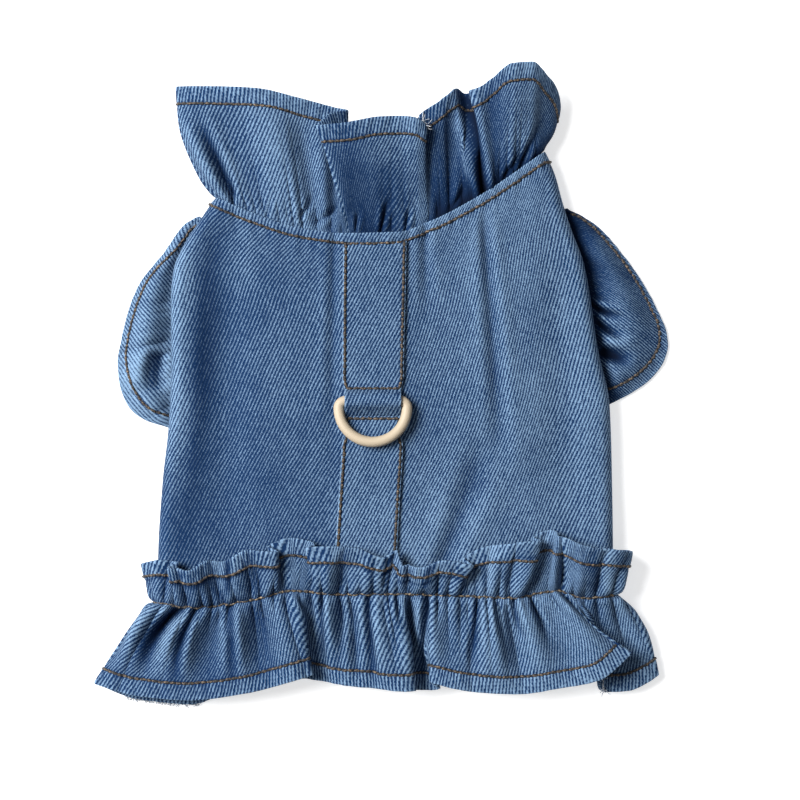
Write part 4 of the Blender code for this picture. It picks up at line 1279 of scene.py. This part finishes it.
def hem_ruffle():
    """The frill's rows and the skirt's rows on both sides of the gathering line, as one strip."""
    at = even_places(820, skirt_edge)
    lean = leaning(SKIRT_FOLDS, at, (0.4, 0.7))
    base = hem_outset(at)[:, None]
    up_rows = np.concatenate([[1.0, 0.985, 0.96, 0.92], np.linspace(0.86, 0.06, 14)])
    frill, rise = frill_rows(at, base, up_rows)
    seam, edge = seam_point(at, 1.0, base[:, 0]), skirt_edge(at)
    away = rows_to_hem(seam, edge, lean, np.linspace(0, 1, 27)[:-1])
    middle = np.concatenate([frill, swept(seam, edge, lean, away)], axis=1)
    along = run_along(np.concatenate([edge, edge[:1]]), 0)
    place = along[:-1, None]
    down = run_along(middle, 1)
    seam_row = len(up_rows)
    past_seam = down - down[:, seam_row : seam_row + 1]
    from_seam, below = np.abs(past_seam), past_seam > 0
    from_edge = np.where(below, down[:, -1:] - down, down)
    seam_run = run_along(seam, 0)[:, None]
    height, ridge = gathered(seam_run, place, from_seam, from_edge, 2.2 * MM, 3.0 * MM, 3.1)
    height = height * np.where(below, 1.0, np.clip(rise * 1.6, 0.3, 1.15))
    thick, ripple, worn_and_shaded = hem_shape(place, from_edge, 0.6)
    in_front = (at < 1.0)[:, None]
    painted_frill_folds = creased(middle[..., 0], middle[..., 1], FRILL_PAINTED_FOLDS) * (~below & in_front)
    dent = creased(middle[..., 0], middle[..., 1], SKIRT_CREASES) * (below & in_front)
    height = height + ripple + dent * MM - 0.46 * MM * bell(from_seam, 0, 1.6 * MM)
    middle = middle - normals_of(middle, True) * height[..., None]
    middle[..., 2] = np.maximum(middle[..., 2], layer(0))
    flat = flat_strip(along, np.where(below, 1, -1) * straight_grain(from_edge) - past_seam)
    # Painted shade in the crease hollows and at the gathering seam, painted light on the crease lips and
    # the frill's painted ridges.
    wear_and_shading = ridge + worn_and_shaded + 0.16 * (dent + painted_frill_folds) - 0.2 * bell(from_seam, 0, 0.8 * MM)
    wear_and_shading = wear_and_shading + through(HEM_WASH_AND_SHADING, "wash", at)[:, None]
    ruffle, outer, up = cloth_wall("denim_hem", middle, flat, wear_and_shading, thick * CLOTH, ring=True, face_up=-1)
    frill_row = int(np.argmin(np.abs(down[:, :seam_row].mean(0) - FRILL_STITCH)))
    dress_cloth(
        ruffle,
        "hem_ruffle",
        with_pieces=hem_threads(outer, up, at, seam_row, frill_row),
    )


hem_ruffle()

# %% [markdown]
# ## Sleeves
#
# Each sleeve is a half-moon of cloth sewn into the front of a leg hole. Its outer edge is hemmed
# and its root is gathered, so it lifts a little off the floor. One function makes both from an
# outline; the twill is turned, since each was cut from the cloth at its own slant.

# %% Outlines of the sleeves
SLEEVE_RISE = 6.0 * MM
SLEEVE_CLEAR = 2.4 * MM
LEFT_SLEEVE = table(
    "root across down",
    (0.075, -0.830, -0.050),
    (0.100, -0.892, -0.028),
    (0.150, -0.989, 0.053),
    (0.200, -1.094, 0.136),
    (0.255, -1.148, 0.219),
    (0.310, -1.179, 0.302),
    (0.350, -1.192, 0.350),
    (0.400, -1.182, 0.415),
    (0.450, -1.144, 0.476),
    (0.490, -1.068, 0.515),
    (0.520, -0.960, 0.535),
)
RIGHT_SLEEVE = table(
    "root across down",
    (0.095, 0.810, -0.068),
    (0.130, 0.925, -0.030),
    (0.175, 1.049, 0.053),
    (0.220, 1.144, 0.136),
    (0.270, 1.214, 0.219),
    (0.310, 1.246, 0.266),
    (0.345, 1.255, 0.307),
    (0.390, 1.237, 0.350),
    (0.435, 1.179, 0.400),
    (0.480, 1.090, 0.440),
    (0.520, 0.985, 0.474),
)
SLEEVE_CREASES = table(
    CREASE_COLUMNS,
    (-91.5, 98.0, -94.5, 76.0, 1.0, 5.0, 3.0),
    (82.0, 119.0, 98.0, 112.0, 1.5, 2.0, 2.2),
    (85.0, 111.0, 99.0, 103.0, 1.0, 2.2, 2.2),
    (87.0, 99.0, 101.0, 94.0, 0.0, 4.2, 3.4),
)


# %% Sleeves
def sleeve(name, node, side, outline, turned, wash, shadow, seed):
    """A half-moon flap that grows from the leg hole, passes under the body's side and swells."""
    root = np.linspace(outline["root"][0], outline["root"][-1], 181)
    lap = body_surface(side * lap_end(root), root)[:, 0]
    bib = body_width(root)[0] + side * (belly_edge(root) + SLEEVE_CLEAR)
    x = np.where(side * bib > side * lap, bib, lap)
    start = np.stack([x, body_y(x, root), 0 * x + layer(0)], axis=-1)
    edge_x = BODY_HALF_WIDTH * through(outline, "across", root)
    edge_y = BODY_LENGTH * (1 - through(outline, "down", root))
    edge = np.stack([edge_x, edge_y, np.full(len(root), layer(0))], axis=-1)
    length = np.linalg.norm(edge - start, axis=1)[:, None]
    fold = 0.5 + 0.5 * eased((root[:, None] - 0.3) / 0.2)
    hem = 1 - np.minimum(fold * HEM_ROWS / length, 0.75 * HEM_ROWS / HEM_ROWS[0])
    share = np.concatenate([np.linspace(0, 1, 38)[:-1] * hem[:, :1], hem], axis=1)[..., None]
    middle = start[:, None] + (edge - start)[:, None] * share
    body_side = side * body_surface(side * 1.0, root)[:, None, 0]
    beyond = np.maximum(side * middle[..., 0] - body_side, 0)
    most = np.maximum(beyond[:, -1:], 1e-6)
    wide = most / most.max()
    lift = SLEEVE_RISE * wide * np.sin(math.pi * beyond / most) ** 2
    along = run_along(edge, 0)
    down = run_along(middle, 1)
    from_edge = down[:, -1:] - down
    root_run = run_along(start, 0)[:, None]
    height, ridge = gathered(root_run, along[:, None], beyond, from_edge, 0.6 * MM, 1.3 * MM, seed)
    thick, ripple, worn_and_shaded = hem_shape(along[:, None], from_edge / fold, seed)
    dent = creased(middle[..., 0], middle[..., 1], SLEEVE_CREASES)
    middle[..., 2] += lift + (height * wide + ripple + dent * MM).clip(-2.0 * MM)
    middle[..., 2] = np.maximum(middle[..., 2], layer(0))
    grain = math.radians(turned)
    flat = np.stack(
        [
            along[:, None] * math.cos(grain) + down * side * math.sin(grain),
            down * side * math.cos(grain) - along[:, None] * math.sin(grain),
        ],
        axis=-1,
    )
    # Painted light on the left sleeve and painted shade on the right one, graded from root to tip; shadow
    # paints shade near the body, and crease hollows are painted darker.
    fade_and_shading = wash[0] + (wash[1] - wash[0]) * eased((root[:, None] - root[0]) / (root[-1] - root[0]))
    wear_and_shading = 0.5 * ridge + worn_and_shaded + 0.2 * dent + fade_and_shading - shadow * (1 - eased(beyond / (15 * MM)))
    flap, outer, up = cloth_wall(name, middle, flat, wear_and_shading, thick * CLOTH, face_up=side)
    line = stitches(f"{name}_topstitch", outer[6:-6, HEM_STITCH_ROW], up[6:-6, HEM_STITCH_ROW])
    dress_cloth(
        flap,
        node,
        with_pieces=[line],
    )


# The left sleeve is painted lighter and the right one darker, with painted shadow by the body.
sleeve("denim_left_sleeve", "sleeve_left", -1, LEFT_SLEEVE, -30, (0.18, 0.42), 0.0, 1.9)
sleeve("denim_right_sleeve", "sleeve_right", 1, RIGHT_SLEEVE, 5, (-0.14, 0.06), 0.5, 0.2)

# %% [markdown]
# ## Leash strap
#
# A folded band of the same denim, sewn down both edges. At mid-back it rises over the bar of
# the ring, with a row of stitches across it on each side of the bar. Its height follows the
# ring's wire: a round wrap over the bar, then a straight slope down on each side.

# %% Sizes of the strap and the ring
RING_INNER_WIDTH = 23.0 * MM
RING_WIRE = 4.2 * MM
RING_ARM = 2.8 * MM
RING_AT = 0.466
STRAP_WIDTH = 24.8 * MM
STRAP_END = 0.94
STRAP_UPPER_SLOPE = math.radians(60)
STRAP_LOWER_SLOPE = math.radians(45)
STRAP_STITCH = 1.4 * MM
UPPER_CROSS = -5.0 * MM
LOWER_CROSS = 7.1 * MM
STRAP_PATH = table(
    "down middle width",
    (0.00, -0.046, 1.02),
    (0.18, -0.051, 1.01),
    (0.38, -0.055, 0.99),
    (0.57, -0.057, 0.99),
    (0.74, -0.072, 0.99),
    (0.94, -0.091, 1.00),
)
print("strap", STRAP_WIDTH / MM, "mm wide, ring", RING_INNER_WIDTH / MM, "mm inside")


# %% Seat of the ring
def ring_seat():
    """Centre of the ring's bar on the back, and the body's length down the strap's middle."""
    x = BODY_HALF_WIDTH * through(STRAP_PATH, "middle", RING_AT)
    length = neck_y(x) - gather_y(x)
    bar = body_point(top_around(x, RING_AT), RING_AT, CLOTH / 2 + GAP + RING_WIRE / 2)
    return bar, float(length)


def loop_height(away):
    """Height of the strap's middle over the back, where it passes over the ring's bar."""
    axis = CLOTH / 2 + GAP + RING_WIRE / 2
    wrap = RING_WIRE / 2 + 1.5 * GAP + CLOTH / 2
    slope = np.where(away > 0, STRAP_LOWER_SLOPE, STRAP_UPPER_SLOPE)
    away = np.abs(away)
    over = axis + np.sqrt(np.maximum(wrap**2 - away**2, 0))
    leave = wrap * np.sin(slope)
    tangent = axis + wrap * np.cos(slope) - (away - leave) * np.tan(slope)
    return np.maximum(np.where(away < leave, over, tangent), STEP)


def down_at(x, y):
    """How far down the body a point of the back is."""
    return (neck_y(x) - y) / (neck_y(x) - gather_y(x))


def strap_width(away, down):
    """Width of the strap, drawn in where it passes through the ring."""
    width = STRAP_WIDTH * through(STRAP_PATH, "width", down)
    narrow = RING_INNER_WIDTH - 2 * GAP
    inside = np.where(away < 0, eased(away / (7.0 * MM) + 1.45), eased(4.0 - away / (4.5 * MM)))
    return width + (np.minimum(narrow, width) - width) * inside


# %% Leash strap
def strap_threads(outer, up, away):
    """Rows of stitches down both edges above and below the loop, and one across at each end of it."""
    lines = []
    for part, rows in (("upper", away < UPPER_CROSS), ("lower", away > LOWER_CROSS)):
        for side, name in ((3, "left"), (-4, "right")):
            lines.append(stitches(f"strap_{name}_{part}_topstitch", outer[side, rows], up[side, rows]))
    for name, at in (("upper", UPPER_CROSS), ("lower", LOWER_CROSS)):
        row = int(np.argmin(np.abs(away - at)))
        lines.append(stitches(f"strap_{name}_cross_stitch", outer[3:-3, row], up[3:-3, row]))
    return lines


def leash_strap():
    """Rows run down from the neck's fold, closer where the strap rises over the ring's bar."""
    bar, length = ring_seat()
    upper_end, lower_end = NECK_FOLD + 0.2 * MM - RING_AT * length, (STRAP_END - RING_AT) * length
    away = np.concatenate([np.linspace(upper_end, lower_end, 150), MM * np.arange(-8, 10, 0.25)])
    away = np.sort(away)
    down = RING_AT + away / length
    width = strap_width(away, down)
    share = np.linspace(-0.5, 0.5, 49)[:, None]
    share = share * (1.25 - share**2)
    x = BODY_HALF_WIDTH * through(STRAP_PATH, "middle", down) + share * width
    inset = (0.5 - np.abs(share)) * width
    from_end = away - upper_end
    level = eased(from_end / (22 * MM))
    y = (1 - level) * (neck_y(x) - from_end - NECK_FOLD - 0.2 * MM) + level * (bar[1] - away)
    down = down_at(x, y)
    edge_dip = np.exp(-inset / (0.25 * MM))
    seam_groove = bell(inset, STRAP_STITCH, 0.45 * MM)
    ripple = np.sin(waves(away + 0 * x, 5.2 * MM, 0.9)) * np.exp(-inset / (2.2 * MM))
    quiet = eased((np.abs(away) - 9 * MM) / (5 * MM))
    tucked_in = np.exp(-from_end / (1.2 * MM))
    off = loop_height(away) + (0.12 * ripple - 0.16 * seam_groove + 0.15 - 0.4 * tucked_in) * MM * quiet
    middle = body_point(top_around(x, down), down, off)
    flat = np.stack([x, -(away + 0 * x)], axis=-1)
    wear_and_shading = 0.06 + 0.12 * eased((down - 0.6) / 0.2) + 0.3 * edge_dip + 0.4 * np.exp(-inset / (0.7 * MM))
    # Painted shade in the grooves by the stitch rows; the edges and ripple crests are paler with wear.
    wear_and_shading = wear_and_shading + 0.14 * ripple - 0.26 * seam_groove
    thick = CLOTH * (1.0 - 0.35 * edge_dip)
    strap, outer, up = cloth_wall("denim_strap", middle, flat, wear_and_shading, thick, face_up=-1)
    dress_cloth(
        strap,
        "leash_strap",
        with_pieces=strap_threads(outer, up, away),
    )


leash_strap()

# %% [markdown]
# ## D-ring
#
# Round wire bent to a D and enamelled cream. The straight bar lies in the strap's loop, and the
# arc rests on the strap below it. A bent curve object would give it too, but a swept circle
# keeps the solid model's sizes exact.


# %% D-ring
def d_path():
    """The ring's middle line in its own plane: straight bar, two tight corners and a round arc."""
    half = (RING_INNER_WIDTH + RING_WIRE) / 2
    bar_x = np.linspace(-(half - RING_ARM), half - RING_ARM, 40)[1:-1]
    turn = np.linspace(math.pi / 2, 0, 12)
    bend = np.linspace(0, -math.pi, 90)[1:-1]
    corner = RING_ARM * np.stack([np.cos(turn), np.sin(turn)], axis=-1)
    right = corner + [half - RING_ARM, -RING_ARM]
    arc = np.stack([half * np.cos(bend), half * np.sin(bend) - RING_ARM], axis=-1)
    left = right[::-1] * np.array([-1, 1])
    return np.concatenate([np.stack([bar_x, 0 * bar_x], axis=-1), right, arc, left])


def d_ring():
    """A circle swept along the D, tilted about its bar until the arc rests on the strap."""
    path = d_path()
    ahead = unit(np.roll(path, -1, axis=0) - np.roll(path, 1, axis=0))
    side = np.stack([ahead[:, 1], -ahead[:, 0]], axis=-1)
    sides = 28
    angle = 2 * math.pi * np.arange(sides) / sides
    flat = path[:, None] + RING_WIRE / 2 * np.cos(angle)[None, :, None] * side[:, None]
    high = np.broadcast_to(RING_WIRE / 2 * np.sin(angle), flat.shape[:2])
    bar, length = ring_seat()
    radius = (RING_INNER_WIDTH + RING_WIRE) / 2
    reach = RING_ARM + math.sqrt(radius**2 - (RING_INNER_WIDTH / 2) ** 2)
    on_strap = STEP + CLOTH / 2 + GAP + RING_WIRE / 2
    rest = body_point(top_around(bar[0], RING_AT), RING_AT + reach / length, on_strap)
    tilt = -math.atan2(rest[2] - bar[2], reach)
    y = flat[..., 1] * math.cos(tilt) - high * math.sin(tilt)
    z = flat[..., 1] * math.sin(tilt) + high * math.cos(tilt)
    verts = np.stack([flat[..., 0], y, z], axis=-1).reshape(-1, 3) + bar + to_floor_middle
    index = np.arange(len(verts)).reshape(len(path), sides)
    after = np.roll(index, -1, axis=0)
    faces = np.stack([index, after, np.roll(after, -1, axis=1), np.roll(index, -1, axis=1)], axis=-1)
    ring = new_object("cream_d_ring", verts, faces.reshape(-1, 4).tolist(), cream_enamel)
    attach(ring, "ring")
    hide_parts("d_ring")
    print("ring tilt in degrees", round(math.degrees(tilt), 2))


d_ring()

# %% [markdown]
# ## Floor, light and camera
#
# The photograph looks straight down at the dress on a plain white ground, with soft light from
# the upper left that leaves the right-hand side of each fold in shade. A wide disc of light
# gives shadows as soft as a window's.


# %% Floor
def floor():
    """A white sheet half a millimetre under the dress, which glows a little."""
    corners = 4.0 * np.array([(-1, -1, 0), (1, -1, 0), (1, 1, 0), (-1, 1, 0)])
    corners[:, 2] = -0.5 * MM
    paper, _, shader = new_material("white paper", 0.9)
    shader.inputs["Base Color"].default_value = (0.7, 0.7, 0.7, 1)
    shader.inputs["Emission Color"].default_value = (1, 1, 1, 1)
    shader.inputs["Emission Strength"].default_value = 0.6
    obj = new_object("white_floor", corners, [(0, 1, 2, 3)], paper, smooth=False)


floor()


# %% Light
def softbox(name, direction, size, power, distance=1.1):
    """An area light that looks at the dress from a direction."""
    light = bpy.data.lights.new(name, "AREA")
    light.shape = "DISK"
    light.size = size
    light.energy = power
    obj = bpy.data.objects.new(name, light)
    away = Vector(direction).normalized()
    obj.location = away * distance
    obj.rotation_mode = "QUATERNION"
    obj.rotation_quaternion = away.to_track_quat("Z", "Y")
    bpy.context.scene.collection.objects.link(obj)


softbox("key from the upper left", (-0.82, 0.34, 0.95), 1.5, 132, distance=2.5)
softbox("fill from above", (0.1, -0.1, 1.1), 1.2, 1.5)
world = bpy.data.worlds.new("soft room")
world.use_nodes = True
world.node_tree.nodes["Background"].inputs["Color"].default_value = (1.0, 1.0, 1.0, 1)
world.node_tree.nodes["Background"].inputs["Strength"].default_value = 0.15
bpy.context.scene.world = world
bpy.context.scene.view_settings.view_transform = "Standard"

# %% Camera
PIXEL = 0.4 * MM
PICTURE_WIDTH = 800 * PIXEL
CLOTH_DISTANCE = 1.0
CAMERA_HEIGHT = CLOTH_DISTANCE + 12 * MM
lens = bpy.data.cameras.new("photo view")
lens.sensor_width = 36.0
lens.lens = lens.sensor_width * CLOTH_DISTANCE / PICTURE_WIDTH
lens.clip_start, lens.clip_end = 0.05, 10.0
photo_view = bpy.data.objects.new("photo view", lens)
photo_view.location = (18 * PIXEL, -14 * PIXEL, CAMERA_HEIGHT)
bpy.context.scene.collection.objects.link(photo_view)
bpy.context.scene.camera = photo_view

# %% Finish
bpy.context.view_layer.update()
